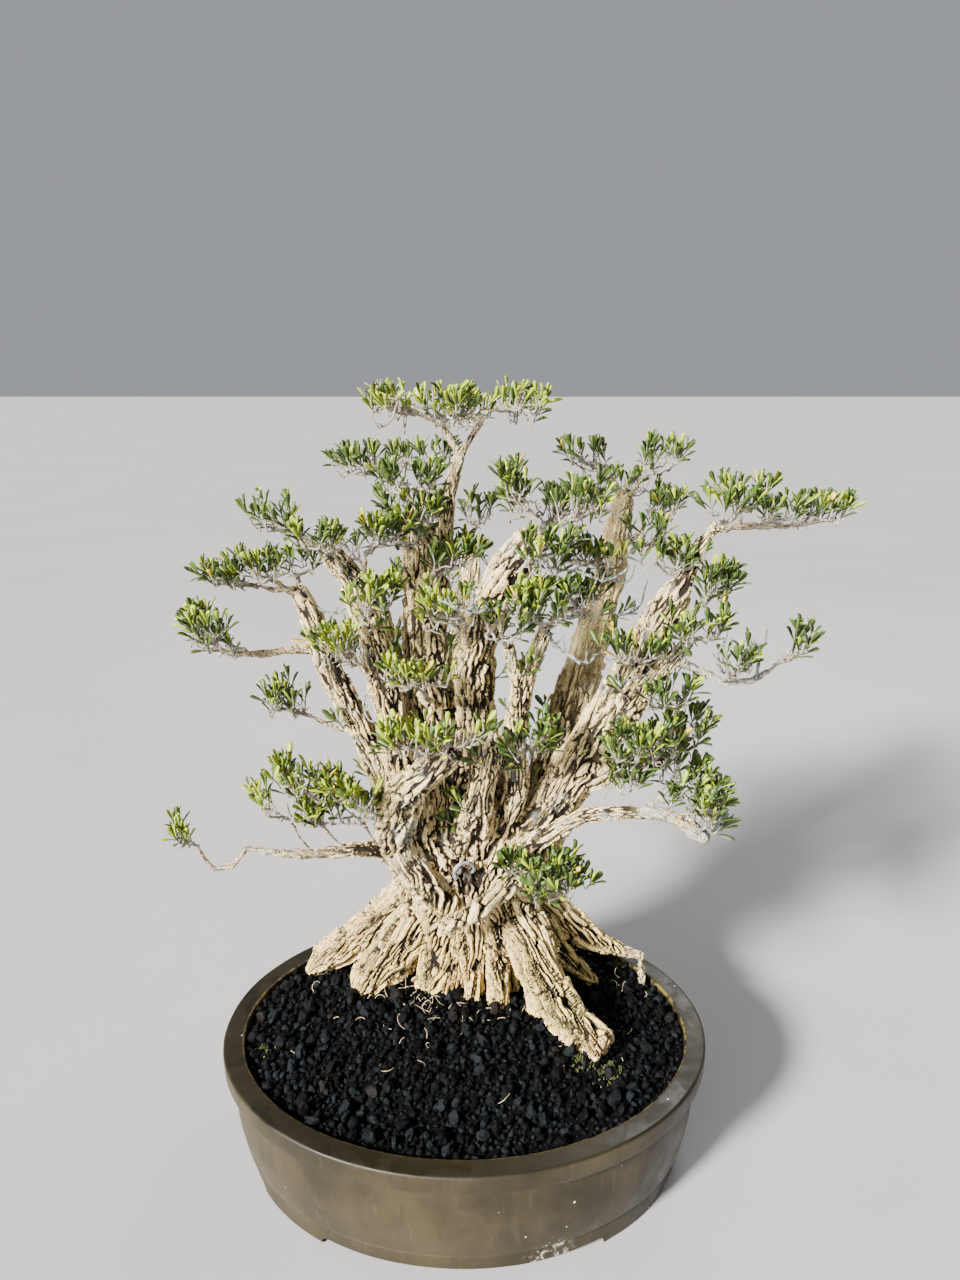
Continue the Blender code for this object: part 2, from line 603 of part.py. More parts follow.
def branchlet_route(limb, share, begin):
    """A short bent branchlet from a limb to where a spray begins."""
    start = point_along(LIMBS[limb], share)
    end = Vector(begin)
    middle = start.lerp(end, 0.6) - Vector((0.0, 0.0, BRANCHLET_SAG * (end - start).length))
    middle_radius = (BRANCHLET_START_RADIUS + BRANCHLET_END_RADIUS) / 2
    start_radius = min(BRANCHLET_START_RADIUS, 0.9 * LIMBS[limb][-1][3])
    return [
        (*start, start_radius),
        (*middle, min(middle_radius, start_radius)),
        (*end, BRANCHLET_END_RADIUS),
    ]


def make_tree():
    pieces = [make_trunk()]
    for name, route in ROOTS.items():
        pieces.append(tube(name, route, 2))
    for name, route in LIMBS.items():
        pieces.append(tube(name, route, 2 if route[0][3] > 0.009 else 1))
    for name, (limb, share, begin, end) in SPRAYS.items():
        pieces.append(tube(name, branchlet_route(limb, share, begin), 0))
    tree = fuse("tree", pieces)
    boolean(tree, mound("Ground", GAP), "DIFFERENCE")
    x, y = TRUNK_SECTIONS[0][1:3]
    core = cylinder(
        "Core", SOCKET_DIAMETER - 2 * GAP, SOCKET_BOTTOM + GAP, TRUNK_SECTIONS[2][0], (x, y), 16
    )
    boolean(tree, core, "UNION")
    keep_largest_body(tree)
    return tree


def smooth_path(start, start_direction, end, end_direction, share):
    """The place and direction a share of the way along a curve with given ends and end directions."""
    reach = PATH_STIFFNESS * (end - start).length
    points = [start, start + reach * start_direction, end - reach * end_direction, end]
    rest = 1 - share
    place = rest**3 * points[0] + 3 * rest**2 * share * points[1]
    place += 3 * rest * share**2 * points[2] + share**3 * points[3]
    direction = rest**2 * (points[1] - points[0]) + 2 * rest * share * (points[2] - points[1])
    direction += share**2 * (points[3] - points[2])
    return place, direction.normalized()


def extrude(work, face):
    """Draws a new section out of a face, and gives back the face at its end."""
    return bmesh.ops.extrude_discrete_faces(work, faces=[face])["faces"][0]


def set_section(face, place, direction, radius):
    """Turns a face square to a direction, round a new centre, with its corners at a radius."""
    centre = face.calc_center_median()
    face.normal_update()
    turn = face.normal.rotation_difference(direction)
    for vertex in face.verts:
        spoke = turn @ (vertex.co - centre)
        vertex.co = place + radius * spoke.normalized()


def face_towards(faces, direction):
    for face in faces:
        face.normal_update()
    return max(faces, key=lambda face: face.normal.dot(direction))


def side_faces(face):
    """The four faces of the stem section that ends at a face."""
    return [other for edge in face.edges for other in edge.link_faces if other is not face]


def blade_frame(face, axis, opening):
    """The root, direction, width direction and upper direction of a blade that grows from a stem's side."""
    face.normal_update()
    outward = (face.normal - face.normal.dot(axis) * axis).normalized()
    direction = (math.cos(opening) * axis + math.sin(opening) * outward).normalized()
    across = axis.cross(outward).normalized()
    return face.calc_center_median(), direction, across, across.cross(direction)


def grow_blade(work, face, frame):
    """A leaf drawn out of a face: widest past its middle, then drawn to a point."""
    root, direction, across, upper = frame
    spokes = [vertex.co - face.calc_center_median() for vertex in face.verts]
    corners = [
        (math.copysign(1.0, spoke.dot(across)), math.copysign(1.0, spoke.dot(upper))) for spoke in spokes
    ]
    section = extrude(work, face)
    widest = root + WIDEST_SHARE * BLADE_LENGTH * direction
    for vertex, (side, level) in zip(section.verts, corners):
        vertex.co = widest + side * BLADE_WIDTH / 2 * across + level * BLADE_THICKNESS / 2 * upper
    tip = bmesh.ops.poke(work, faces=[section])["verts"][0]
    tip.co = root + BLADE_LENGTH * direction


def shell(sections):
    """A closed surface round a row of four-cornered sections, to test for crossings."""
    corners = [corner for section in sections for corner in section]
    last = len(corners) - 4
    faces = [(3, 2, 1, 0), (last, last + 1, last + 2, last + 3)]
    for base in range(0, last, 4):
        for side in range(4):
            after = (side + 1) % 4
            faces.append((base + side, base + after, base + after + 4, base + side + 4))
    return BVHTree.FromPolygons(corners, faces)


def section_corners(place, across, upper, half_width, half_height):
    signs = ((-1, -1), (1, -1), (1, 1), (-1, 1))
    return [place + side * half_width * across + level * half_height * upper for side, level in signs]


def blade_shell(frame):
    """A blade with the room that it keeps to its neighbours."""
    root, direction, across, upper = frame
    shares = ((0.15, 0.4), (WIDEST_SHARE, 1.0), (1.05, 0.1))
    return shell(
        [
            section_corners(
                root + share * BLADE_LENGTH * direction,
                across,
                upper,
                width * BLADE_WIDTH / 2 + BLADE_ROOM,
                BLADE_THICKNESS / 2 + BLADE_ROOM,
            )
            for share, width in shares
        ]
    )


def stem_shell(places, radius):
    direction = (places[-1] - places[0]).normalized()
    across = direction.orthogonal().normalized()
    upper = direction.cross(across)
    return shell([section_corners(place, across, upper, radius, radius) for place in places])


class Neighbours:
    """The tree, and every twig, shoot and blade so far, each with the tuft that it belongs to."""

    def __init__(self, tree):
        self.tree = BVHTree.FromObject(tree, bpy.context.evaluated_depsgraph_get())
        self.shells = []

    def add(self, owner, place, surface):
        self.shells.append((owner, place, surface))

    def clear(self, owner, place, surface):
        if surface.overlap(self.tree):
            return False
        for other, other_place, other_surface in self.shells:
            near = (other_place - place).length < REACH_TO_TEST
            if other != owner and near and surface.overlap(other_surface):
                return False
        return True


def twig_sections(plan):
    """Places and directions along a spray's twig: its start, each side shoot's node and its own tip."""
    limb, share, begin, end = plan
    middle = Vector(branchlet_route(limb, share, begin)[1][:3])
    onward = (Vector(begin) - middle).normalized()
    start = Vector(begin) + GAP * onward
    level = Vector((end[0] - begin[0], end[1] - begin[1], 0.0)).normalized()
    upright = (level + TIP_UPRIGHTNESS * Vector((0.0, 0.0, 1.0))).normalized()
    sections = [(start, onward)]
    length = (Vector(end) - start).length
    half_node = NODE_LENGTH / 2 / length
    fewest, most = SHOOT_COUNT
    shoots = min(most, max(fewest, round(length / SHOOT_SPACING) - 1))
    for centre in [(number + 1) / (shoots + 1) for number in range(shoots + 1)]:
        for shift in (-half_node, half_node):
            sections.append(smooth_path(start, onward, Vector(end), upright, min(1.0, centre + shift)))
    return sections


def shoot_direction(along, turn):
    """Up and outwards from a level twig, and more and more to its sides as the twig steepens."""
    up = Vector((0.0, 0.0, 1.0))
    steepness = abs(along.z)
    flat = Vector((along.x, along.y, 0.0)) + Vector((0.0, -0.001, 0.0))
    spread = (1 - steepness) * (up - along.z * along) + steepness * flat.normalized()
    spread = (spread - spread.dot(along) * along).normalized()
    spread = Matrix.Rotation(turn * (1 + steepness), 3, along) @ spread
    return (SHOOT_FORWARD * along + spread).normalized()


def grow_tuft(work, end_face, name, axis, neighbours, opening):
    """Blades out of the four sides of the node that ends at a face."""
    for face in side_faces(end_face):
        frame = blade_frame(face, axis, opening)
        middle = frame[0] + 0.5 * BLADE_LENGTH * frame[1]
        room = blade_shell(frame)
        if neighbours.clear(name, middle, room):
            neighbours.add(name, middle, room)
            grow_blade(work, face, frame)


def make_spray(name, plan, neighbours, draw):
    """A twig drawn out of one square section, with its side shoots and a tuft on every end."""
    sections = twig_sections(plan)
    work = bmesh.new()
    made = bmesh.ops.create_cone(
        work, cap_ends=True, segments=4, radius1=TWIG_RADIUS, radius2=TWIG_RADIUS, depth=NODE_LENGTH
    )
    start, onward = sections[0]
    turn = onward.to_track_quat("Z", "Y").to_matrix().to_4x4()
    bmesh.ops.transform(
        work,
        matrix=Matrix.Translation(start + NODE_LENGTH / 2 * onward) @ turn,
        verts=made["verts"],
    )
    end_face = face_towards(list(work.faces), onward)
    nodes = []
    for number, (place, direction) in enumerate(sections[1:]):
        radius = TWIG_RADIUS + (TWIG_TIP_RADIUS - TWIG_RADIUS) * number / (len(sections) - 2)
        end_face = extrude(work, end_face)
        set_section(end_face, place, direction, radius)
        if number % 2:
            nodes.append((side_faces(end_face), place, direction))
    tip_faces, tip_place, tip_direction = nodes.pop()
    tufts = [(end_face, name + " tip", tip_direction)]
    for number, (faces, place, direction) in enumerate(nodes):
        side = 1 if number % 2 else -1
        lean = shoot_direction(direction, side * math.radians(draw.uniform(*SHOOT_TURN_DEGREES)))
        length = SHOOT_LENGTH * draw.uniform(0.85, 1.15)
        owner = name + " shoot " + str(number)
        room = stem_shell([place + 0.3 * length * lean, place + length * lean], SHOOT_RADIUS + BLADE_ROOM)
        if not neighbours.clear(owner, place + 0.5 * length * lean, room):
            continue
        neighbours.add(owner, place + 0.5 * length * lean, room)
        top = face_towards(faces, lean)
        for share in (1 - NODE_LENGTH / length, 1.0):
            top = extrude(work, top)
            set_section(top, place + share * length * lean, lean, SHOOT_RADIUS)
        tufts.append((top, owner, lean))
    for face, owner, axis in tufts:
        grow_tuft(work, face, owner, axis, neighbours, math.radians(draw.uniform(*OPENING_DEGREES)))
    bmesh.ops.triangulate(work, faces=work.faces)
    return object_from_bmesh(name, work)


def make_sprays(tree):
    """The twigs are laid out first, so that no blade grows into a neighbour's twig."""
    neighbours = Neighbours(tree)
    for name, plan in SPRAYS.items():
        places = [place for place, direction in twig_sections(plan)]
        for start, stop in zip(places[1:], places[2:]):
            neighbours.add("twig of " + name, start, stem_shell([start, stop], TWIG_RADIUS + BLADE_ROOM))
    sprays = []
    for number, (name, plan) in enumerate(SPRAYS.items()):
        draw = random.Random(SPECIES_SEED + number)
        sprays.append(make_spray("spray_" + name, plan, neighbours, draw))
    return sprays


def finish(things, collection, material):
    """Puts finished pieces in the bonsai's collection, in their material and place."""
    for thing in things:
        for holder in list(thing.users_collection):
            holder.objects.unlink(thing)
        collection.objects.link(thing)
        thing.data.materials.clear()
        thing.data.materials.append(material)
        thing.location = POT_CENTRE


for old in list(bpy.data.objects):
    bpy.data.objects.remove(old)

bonsai = bpy.data.collections.new("Boxwood bonsai")
bpy.context.scene.collection.children.link(bonsai)

pot = make_pot()
screens = [
    make_screen(name, centre)
    for name, centre in zip(("drain_screen_left", "drain_screen_right"), drain_hole_centres())
]
soil = make_soil()
tree = make_tree()
sprays = make_sprays(tree)

finish([pot], bonsai, make_material("Stoneware", (0.16, 0.12, 0.08), 0.45))
finish(screens, bonsai, make_material("Black plastic mesh", (0.02, 0.02, 0.02), 0.6))
finish([soil], bonsai, make_material("Dark grit", (0.012, 0.013, 0.014), 0.9))
finish([tree], bonsai, make_material("Corky bark", (0.55, 0.44, 0.30), 0.85))
finish(sprays, bonsai, make_material("Boxwood leaf", (0.14, 0.26, 0.05), 0.45))
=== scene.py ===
"""Boxwood bonsai in an oval stoneware pot: the looks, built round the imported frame. Metres, +Z up."""

import itertools
import json
import math
import random

import bmesh
import bpy
import numpy as np
from mathutils import Matrix, Vector, kdtree
from mathutils.bvhtree import BVHTree

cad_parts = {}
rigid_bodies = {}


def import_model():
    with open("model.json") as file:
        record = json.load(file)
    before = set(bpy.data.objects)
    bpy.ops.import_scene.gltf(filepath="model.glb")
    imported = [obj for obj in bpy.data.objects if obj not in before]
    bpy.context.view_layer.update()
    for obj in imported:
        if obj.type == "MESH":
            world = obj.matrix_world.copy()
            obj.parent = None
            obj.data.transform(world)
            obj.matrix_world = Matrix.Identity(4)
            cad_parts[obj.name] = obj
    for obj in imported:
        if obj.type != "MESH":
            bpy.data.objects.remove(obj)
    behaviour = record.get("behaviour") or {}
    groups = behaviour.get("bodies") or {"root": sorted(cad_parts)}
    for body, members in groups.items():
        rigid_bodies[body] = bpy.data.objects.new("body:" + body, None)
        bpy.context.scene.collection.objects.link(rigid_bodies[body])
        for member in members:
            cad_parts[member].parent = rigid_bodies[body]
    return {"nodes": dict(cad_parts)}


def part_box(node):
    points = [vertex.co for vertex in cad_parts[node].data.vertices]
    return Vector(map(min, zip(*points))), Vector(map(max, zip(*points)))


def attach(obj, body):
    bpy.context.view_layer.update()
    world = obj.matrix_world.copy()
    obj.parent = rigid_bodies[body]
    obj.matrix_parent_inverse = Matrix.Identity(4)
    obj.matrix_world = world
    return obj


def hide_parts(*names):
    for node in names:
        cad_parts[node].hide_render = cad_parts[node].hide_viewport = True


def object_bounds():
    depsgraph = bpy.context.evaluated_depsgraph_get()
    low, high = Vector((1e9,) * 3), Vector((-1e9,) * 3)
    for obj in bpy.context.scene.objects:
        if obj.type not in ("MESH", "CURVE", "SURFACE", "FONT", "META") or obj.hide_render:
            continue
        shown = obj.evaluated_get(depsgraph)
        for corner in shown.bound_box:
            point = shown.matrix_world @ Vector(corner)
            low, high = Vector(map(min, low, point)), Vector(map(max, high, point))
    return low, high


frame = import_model()
cad_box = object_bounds()

# Camera
# A phone's wide lens close in front of the tree, held level with its crown and tipped down.
# Its place and tip were worked out from how the pot's oval lip and its foot look in the photographed view.
CAMERA_PLACE = (-0.013, -0.787, 0.716)
CAMERA_TIP_DEGREES = 16.8
SENSOR_LONG_SIDE = 36.0
FOCAL_LENGTH_PIXELS = 961
LONG_SIDE_PIXELS = 1280

camera_data = bpy.data.cameras.new("Camera")
camera_data.sensor_width = SENSOR_LONG_SIDE
camera_data.lens = SENSOR_LONG_SIDE * FOCAL_LENGTH_PIXELS / LONG_SIDE_PIXELS
camera_data.clip_start = 0.01
camera = bpy.data.objects.new("Camera", camera_data)
camera.location = CAMERA_PLACE
camera.rotation_euler = (math.radians(90 - CAMERA_TIP_DEGREES), 0.0, 0.0)
bpy.context.scene.collection.objects.link(camera)
bpy.context.scene.camera = camera

# Studio: floor, daylight and lamps
# A pale matt floor under an even pale surround. The key lamp stands for the sun, from the upper left front.
# Two soft lamps lift the shadows, and one from behind lights the edges.
FLOOR_SIZE = 30.0
FLOOR_COLOUR = (0.31, 0.31, 0.32, 1.0)
FLOOR_CLOUDS = 0.4
SURROUND_COLOUR = (0.80, 0.83, 0.88, 1.0)
SURROUND_STRENGTH = 0.43
SUN_TRAVEL = Vector((1.02, 1.07, -0.82))
SUN_SPREAD_DEGREES = 9
SUN_STRENGTH = 21.0
SUN_COLOUR = (1.0, 0.955, 0.88)
# Each lamp's place, width, power and colour
LAMPS = {
    "Right fill": ((1.30, -1.20, 0.80), 1.20, 5.0, (0.97, 0.98, 1.0)),
    "Left fill": ((-1.10, -2.10, 0.75), 1.40, 28.0, (1.0, 0.98, 0.95)),
    "Rim": ((0.70, 1.40, 1.50), 0.90, 20.0, (1.0, 0.98, 0.95)),
}
LAMP_AIM = Vector((0.0, 0.0, 0.33))


def add_node(tree, kind, inputs=None, **settings):
    """Adds a node with its settings, and each input either set to a value or linked from a socket."""
    node = tree.nodes.new(kind)
    for name, value in settings.items():
        setattr(node, name, value)
    for key, value in (inputs or {}).items():
        if isinstance(value, bpy.types.NodeSocket):
            tree.links.new(value, node.inputs[key])
        else:
            node.inputs[key].default_value = value
    return node


def new_material(name):
    """An empty material, as its node tree, its shader and the object's own coordinates."""
    material = bpy.data.materials.new(name)
    material.use_nodes = True
    tree = material.node_tree
    tree.nodes.clear()
    shader = add_node(tree, "ShaderNodeBsdfPrincipled")
    add_node(tree, "ShaderNodeOutputMaterial", {"Surface": shader.outputs["BSDF"]})
    place = add_node(tree, "ShaderNodeTexCoord").outputs["Object"]
    return material, tree, shader, place


def cloudy(tree, place, size, detail=3.0, roughness=0.55, distortion=0.0):
    """Smooth noise from about 0.3 to 0.7 whose patches are about one size across."""
    inputs = {
        "Vector": place,
        "Scale": 1 / size,
        "Detail": detail,
        "Roughness": roughness,
        "Distortion": distortion,
    }
    return add_node(tree, "ShaderNodeTexNoise", inputs).outputs["Fac"]


def band(tree, value, low, high, start=0.0, end=1.0):
    """A soft step of a value from one level to another."""
    inputs = {0: value, 1: low, 2: high, 3: start, 4: end}
    return add_node(tree, "ShaderNodeMapRange", inputs, interpolation_type="SMOOTHSTEP").outputs[0]


def mix_colours(tree, share, first, second, mode="MIX"):
    node = add_node(tree, "ShaderNodeMix", data_type="RGBA", blend_type=mode)
    for key, value in ((0, share), (6, first), (7, second)):
        if isinstance(value, bpy.types.NodeSocket):
            tree.links.new(value, node.inputs[key])
        else:
            node.inputs[key].default_value = value
    return node.outputs[2]


def coat(tree, shader, colour, roughness, gloss=None):
    """Gives the shader its colour and roughness, and its gloss where that isn't the usual one."""
    tree.links.new(colour, shader.inputs["Base Color"])
    shader.inputs["Roughness"].default_value = roughness
    if gloss is not None:
        shader.inputs["Specular IOR Level"].default_value = gloss


def mesh_object(name, mesh):
    thing = bpy.data.objects.new(name, mesh)
    bpy.context.scene.collection.objects.link(thing)
    return thing


def mesh_from(work, name):
    """Keeps a bmesh as a plain mesh and frees it."""
    mesh = bpy.data.meshes.new(name)
    work.to_mesh(mesh)
    work.free()
    return mesh


floor_work = bmesh.new()
bmesh.ops.create_grid(floor_work, x_segments=1, y_segments=1, size=FLOOR_SIZE / 2)
floor = mesh_object("Floor", mesh_from(floor_work, "Floor"))
floor_material, tree, shader, place = new_material("Pale floor")
floor_tone = band(tree, cloudy(tree, place, FLOOR_CLOUDS), 0.3, 0.7, 0.97, 1.03)
coat(tree, shader, mix_colours(tree, 1.0, FLOOR_COLOUR, floor_tone, "MULTIPLY"), 0.75)
floor.data.materials.append(floor_material)

surround = bpy.data.worlds.new("Surround")
surround.use_nodes = True
surround.node_tree.nodes["Background"].inputs["Color"].default_value = SURROUND_COLOUR
surround.node_tree.nodes["Background"].inputs["Strength"].default_value = SURROUND_STRENGTH
bpy.context.scene.world = surround

sun_data = bpy.data.lights.new("Key", "SUN")
sun_data.angle = math.radians(SUN_SPREAD_DEGREES)
sun_data.energy = SUN_STRENGTH
sun_data.color = SUN_COLOUR
sun = bpy.data.objects.new("Key", sun_data)
sun.rotation_euler = SUN_TRAVEL.to_track_quat("-Z", "Y").to_euler()
bpy.context.scene.collection.objects.link(sun)
for lamp_name, (lamp_place, lamp_size, lamp_power, lamp_colour) in LAMPS.items():
    lamp_data = bpy.data.lights.new(lamp_name, "AREA")
    lamp_data.shape = "DISK"
    lamp_data.size = lamp_size
    lamp_data.energy = lamp_power
    lamp_data.color = lamp_colour
    lamp = bpy.data.objects.new(lamp_name, lamp_data)
    lamp.location = lamp_place
    lamp.rotation_euler = (LAMP_AIM - Vector(lamp_place)).to_track_quat("-Z", "Y").to_euler()
    bpy.context.scene.collection.objects.link(lamp)

# Pot
# One oval pot of unglazed brown stoneware, pressed in a mould and smoked darker on the top of its lip.
# The lip overhangs the body, and low arches are cut through the foot band between four feet.
pot_low, pot_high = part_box("pot")
POT_CENTRE = (pot_low + pot_high) / 2
POT_LENGTH = pot_high.x - pot_low.x
POT_WIDTH = pot_high.y - pot_low.y
POT_HEIGHT = pot_high.z
LIP_WIDTH = 0.019
LIP_HEIGHT = 0.018
LIP_OVERHANG = 0.009
BODY_TAPER = 0.007
BODY_BELLY = 0.0012
FOOT_BAND_HEIGHT = 0.022
FOOT_BAND_INSET = 0.003
FOOT_WIDTH = 0.014
UNDERSIDE_HEIGHT = 0.009
POT_FLOOR_HEIGHT = 0.020
WALL_SLOPE = 0.009
FRONT_ARCH_LENGTH = 0.235
END_ARCH_LENGTH = 0.150
FOOT_CLEARANCE = 0.008
ARCH_ROUNDING = 0.6 * FOOT_CLEARANCE
DRAIN_HOLE_DEPTH = 0.08
DRAIN_HOLE_RADIUS = 0.013
DRAIN_HOLE_SPACING = 0.180
POT_TURN_STEPS = 200
POT_UNEVENNESS = 0.00035
SHARP_EDGE_DEGREES = 40
SEAM = 0.0001


def rounded_outline(corners, steps=5):
    """An outline of (radius, height, rounding) corners, each rounded by an arc of a few points."""
    outline = []
    for number, (x, z, rounding) in enumerate(corners):
        corner = Vector((x, z))
        if rounding == 0:
            outline.append(corner)
            continue
        before = Vector(corners[number - 1][:2]) - corner
        after = Vector(corners[(number + 1) % len(corners)][:2]) - corner
        cut = min(rounding, 0.45 * before.length, 0.45 * after.length)
        start = corner + cut * before.normalized()
        end = corner + cut * after.normalized()
        for step in range(steps + 1):
            share = step / steps
            outline.append(start.lerp(corner, share).lerp(corner.lerp(end, share), share))
    return outline


def soft_noise(points, size, seed):
    """Smooth noise from -1 to 1 at each point, which changes over about one size."""
    scaled = points / size + 31.7 * seed
    cell = np.floor(scaled).astype(np.int64)
    part = scaled - cell
    part = part * part * (3 - 2 * part)
    total = np.zeros(len(points))
    for corner in itertools.product((0, 1), repeat=3):
        at = cell + np.array(corner)
        mixed = (at[:, 0] * 73856093) ^ (at[:, 1] * 19349663) ^ (at[:, 2] * 83492791)
        mixed = (mixed ^ (mixed >> 13)) * 1274126177 & 0xFFFFFFFF
        weight = np.where(np.array(corner) == 1, part, 1 - part).prod(axis=1)
        total += weight * (mixed / 0x7FFFFFFF - 1)
    return total


def mesh_points(mesh, field="co"):
    values = np.empty(3 * len(mesh.vertices), dtype=np.float32)
    mesh.vertices.foreach_get(field, values)
    return values.reshape(-1, 3).astype(float)


def smooth_step(value, low, high):
    share = np.clip((value - low) / (high - low), 0.0, 1.0)
    return share * share * (3 - 2 * share)


def add_attribute(mesh, name, values):
    kind = "FLOAT" if values.ndim == 1 else "FLOAT_VECTOR"
    attribute = mesh.attributes.new(name, kind, "POINT")
    attribute.data.foreach_set("value" if kind == "FLOAT" else "vector", values.astype(np.float32).ravel())


def apply_modifiers(thing):
    """Bakes a thing's modifiers into its mesh."""
    depsgraph = bpy.context.evaluated_depsgraph_get()
    mesh = bpy.data.meshes.new_from_object(thing.evaluated_get(depsgraph))
    thing.modifiers.clear()
    thing.data = mesh


def finish_piece(thing, nodes):
    """Fixes a finished piece to the root body, and hides the CAD parts that it stands for."""
    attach(thing, "root")
    if nodes:
        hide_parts(*nodes)


def pot_corners():
    outer = POT_LENGTH / 2
    lip_bottom = POT_HEIGHT - LIP_HEIGHT
    body = outer - LIP_OVERHANG
    foot = body - BODY_TAPER - FOOT_BAND_INSET
    inner = outer - LIP_WIDTH
    return [
        (outer, POT_HEIGHT, 0.0034),
        (outer - 0.0004, lip_bottom, 0.0030),
        (body - 0.0002, lip_bottom - 0.0010, 0.0016),
        (body + 0.4 * BODY_BELLY, 0.72 * POT_HEIGHT, 0.015),
        (body - 0.0010 + BODY_BELLY, 0.48 * POT_HEIGHT, 0.020),
        (body - BODY_TAPER + 0.0010, FOOT_BAND_HEIGHT + 0.0036, 0.0030),
        (foot - 0.0008, FOOT_BAND_HEIGHT + 0.0010, 0.0010),
        (foot + 0.0004, FOOT_BAND_HEIGHT - 0.0014, 0.0010),
        (foot - 0.0010, 0.0, 0.0022),
        (foot - FOOT_WIDTH, 0.0, 0.0016),
        (foot - FOOT_WIDTH, UNDERSIDE_HEIGHT, 0.0020),
        (0.0, UNDERSIDE_HEIGHT, 0.0),
        (0.0, POT_FLOOR_HEIGHT, 0.0),
        (inner - WALL_SLOPE, POT_FLOOR_HEIGHT, 0.0040),
        (inner, POT_HEIGHT, 0.0022),
    ]


def cutter(name, size, rounding):
    """A block with rounded edges that is taken away from a piece."""
    work = bmesh.new()
    bmesh.ops.create_cube(work, size=1.0)
    bmesh.ops.scale(work, vec=size, verts=work.verts)
    rounded = {"offset": rounding, "segments": 5, "affect": "EDGES", "profile": 0.5, "clamp_overlap": True}
    bmesh.ops.bevel(work, geom=work.edges[:], **rounded)
    return mesh_object(name, mesh_from(work, name))


def cut(thing, tool):
    modifier = thing.modifiers.new("Cut", "BOOLEAN")
    modifier.operation = "DIFFERENCE"
    modifier.object = tool
    modifier.solver = "EXACT"
    apply_modifiers(thing)
    bpy.data.objects.remove(tool)


def turned_pot():
    """The pot's outline turned full circle, as points round its own middle."""
    work = bmesh.new()
    outline = [work.verts.new((point.x, 0.0, point.y)) for point in rounded_outline(pot_corners())]
    for start, end in zip(outline, outline[1:] + outline[:1]):
        if start.co.x > 0 or end.co.x > 0:
            work.edges.new((start, end))
    thing = mesh_object("pot_stoneware", mesh_from(work, "pot_stoneware"))
    screw = thing.modifiers.new("Turn", "SCREW")
    screw.steps = POT_TURN_STEPS
    screw.render_steps = POT_TURN_STEPS
    screw.use_merge_vertices = True
    screw.merge_threshold = SEAM
    apply_modifiers(thing)
    work = bmesh.new()
    work.from_mesh(thing.data)
    bmesh.ops.recalc_face_normals(work, faces=work.faces)
    work.to_mesh(thing.data)
    work.free()
    return thing


def oval(points):
    """Draws a round shape in along Y, with the same width of wall and lip all round."""
    radius = np.hypot(points[:, 0], points[:, 1])
    narrowing = (POT_LENGTH - POT_WIDTH) / 2
    drawn = points.copy()
    drawn[:, 1] *= 1 - narrowing / np.maximum(radius, 0.35 * POT_LENGTH)
    return drawn


pot = turned_pot()
pot.data.vertices.foreach_set("co", oval(mesh_points(pot.data)).ravel())
cut(pot, cutter("Front arch", (FRONT_ARCH_LENGTH, POT_WIDTH, 2 * FOOT_CLEARANCE), ARCH_ROUNDING))
cut(pot, cutter("End arch", (POT_LENGTH, END_ARCH_LENGTH, 2 * FOOT_CLEARANCE), ARCH_ROUNDING))
for drain_place in (-DRAIN_HOLE_SPACING / 2, DRAIN_HOLE_SPACING / 2):
    drain_work = bmesh.new()
    drain_size = {"radius1": DRAIN_HOLE_RADIUS, "radius2": DRAIN_HOLE_RADIUS, "depth": DRAIN_HOLE_DEPTH}
    bmesh.ops.create_cone(drain_work, cap_ends=True, segments=32, **drain_size)
    bmesh.ops.translate(drain_work, vec=(drain_place, 0.0, 0.0), verts=drain_work.verts)
    cut(pot, mesh_object("Drain hole", mesh_from(drain_work, "Drain hole")))
pot_points = mesh_points(pot.data)
pot_normals = mesh_points(pot.data, "normal")
unevenness = soft_noise(pot_points, 0.045, 1) + 0.4 * soft_noise(pot_points, 0.014, 2)
standing = pot_points[:, 2] < SEAM
unevenness[standing] = 0.0
pot_points += POT_UNEVENNESS * (unevenness[:, None] - 0.6 * ~standing[:, None]) * pot_normals
outward = pot_points[:, :2] / (np.linalg.norm(pot_points[:, :2], axis=1)[:, None] + 1e-9)
facing_in = smooth_step(-(outward * pot_normals[:, :2]).sum(axis=1), 0.1, 0.5)
facing_in[pot_points[:, 2] < POT_FLOOR_HEIGHT] = 0.0
add_attribute(pot.data, "facing_in", facing_in)
pot_points += (POT_CENTRE.x, POT_CENTRE.y, 0.0)
pot.data.vertices.foreach_set("co", pot_points.ravel())
pot.data.shade_smooth()
pot.data.set_sharp_from_angle(angle=math.radians(SHARP_EDGE_DEGREES))

STONEWARE_LIGHT = (0.0410, 0.0318, 0.0155, 1.0)
STONEWARE_DARK = (0.015, 0.0123, 0.0064, 1.0)
LIP_TOP_COLOUR = (0.0068, 0.0056, 0.0027, 1.0)
INNER_WALL_DARK = (0.014, 0.012, 0.009, 1.0)
RIM_MOSS = (0.110, 0.085, 0.020, 1.0)
LIME_COLOUR = (0.62, 0.58, 0.50, 1.0)
LIME_PATCH = (0.048, -0.196, 0.009)
LIME_PATCH_REACH = 0.030
PALE_RUN = (0.070, 0.056, 0.036, 1.0)
WET_LIP = (0.0050, 0.0045, 0.0025, 1.0)
RUN_STRETCH = (1.0, 1.0, 0.18)


def calculate(tree, operation, first, second):
    return add_node(tree, "ShaderNodeMath", {0: first, 1: second}, operation=operation).outputs[0]


def times(tree, first, second):
    return calculate(tree, "MULTIPLY", first, second)


def mesh_value(tree, name, output="Fac"):
    """What the mesh holds under a name at each point."""
    return add_node(tree, "ShaderNodeAttribute", attribute_name=name).outputs[output]


def coordinate(tree, place, axis):
    return add_node(tree, "ShaderNodeSeparateXYZ", {"Vector": place}).outputs[axis]


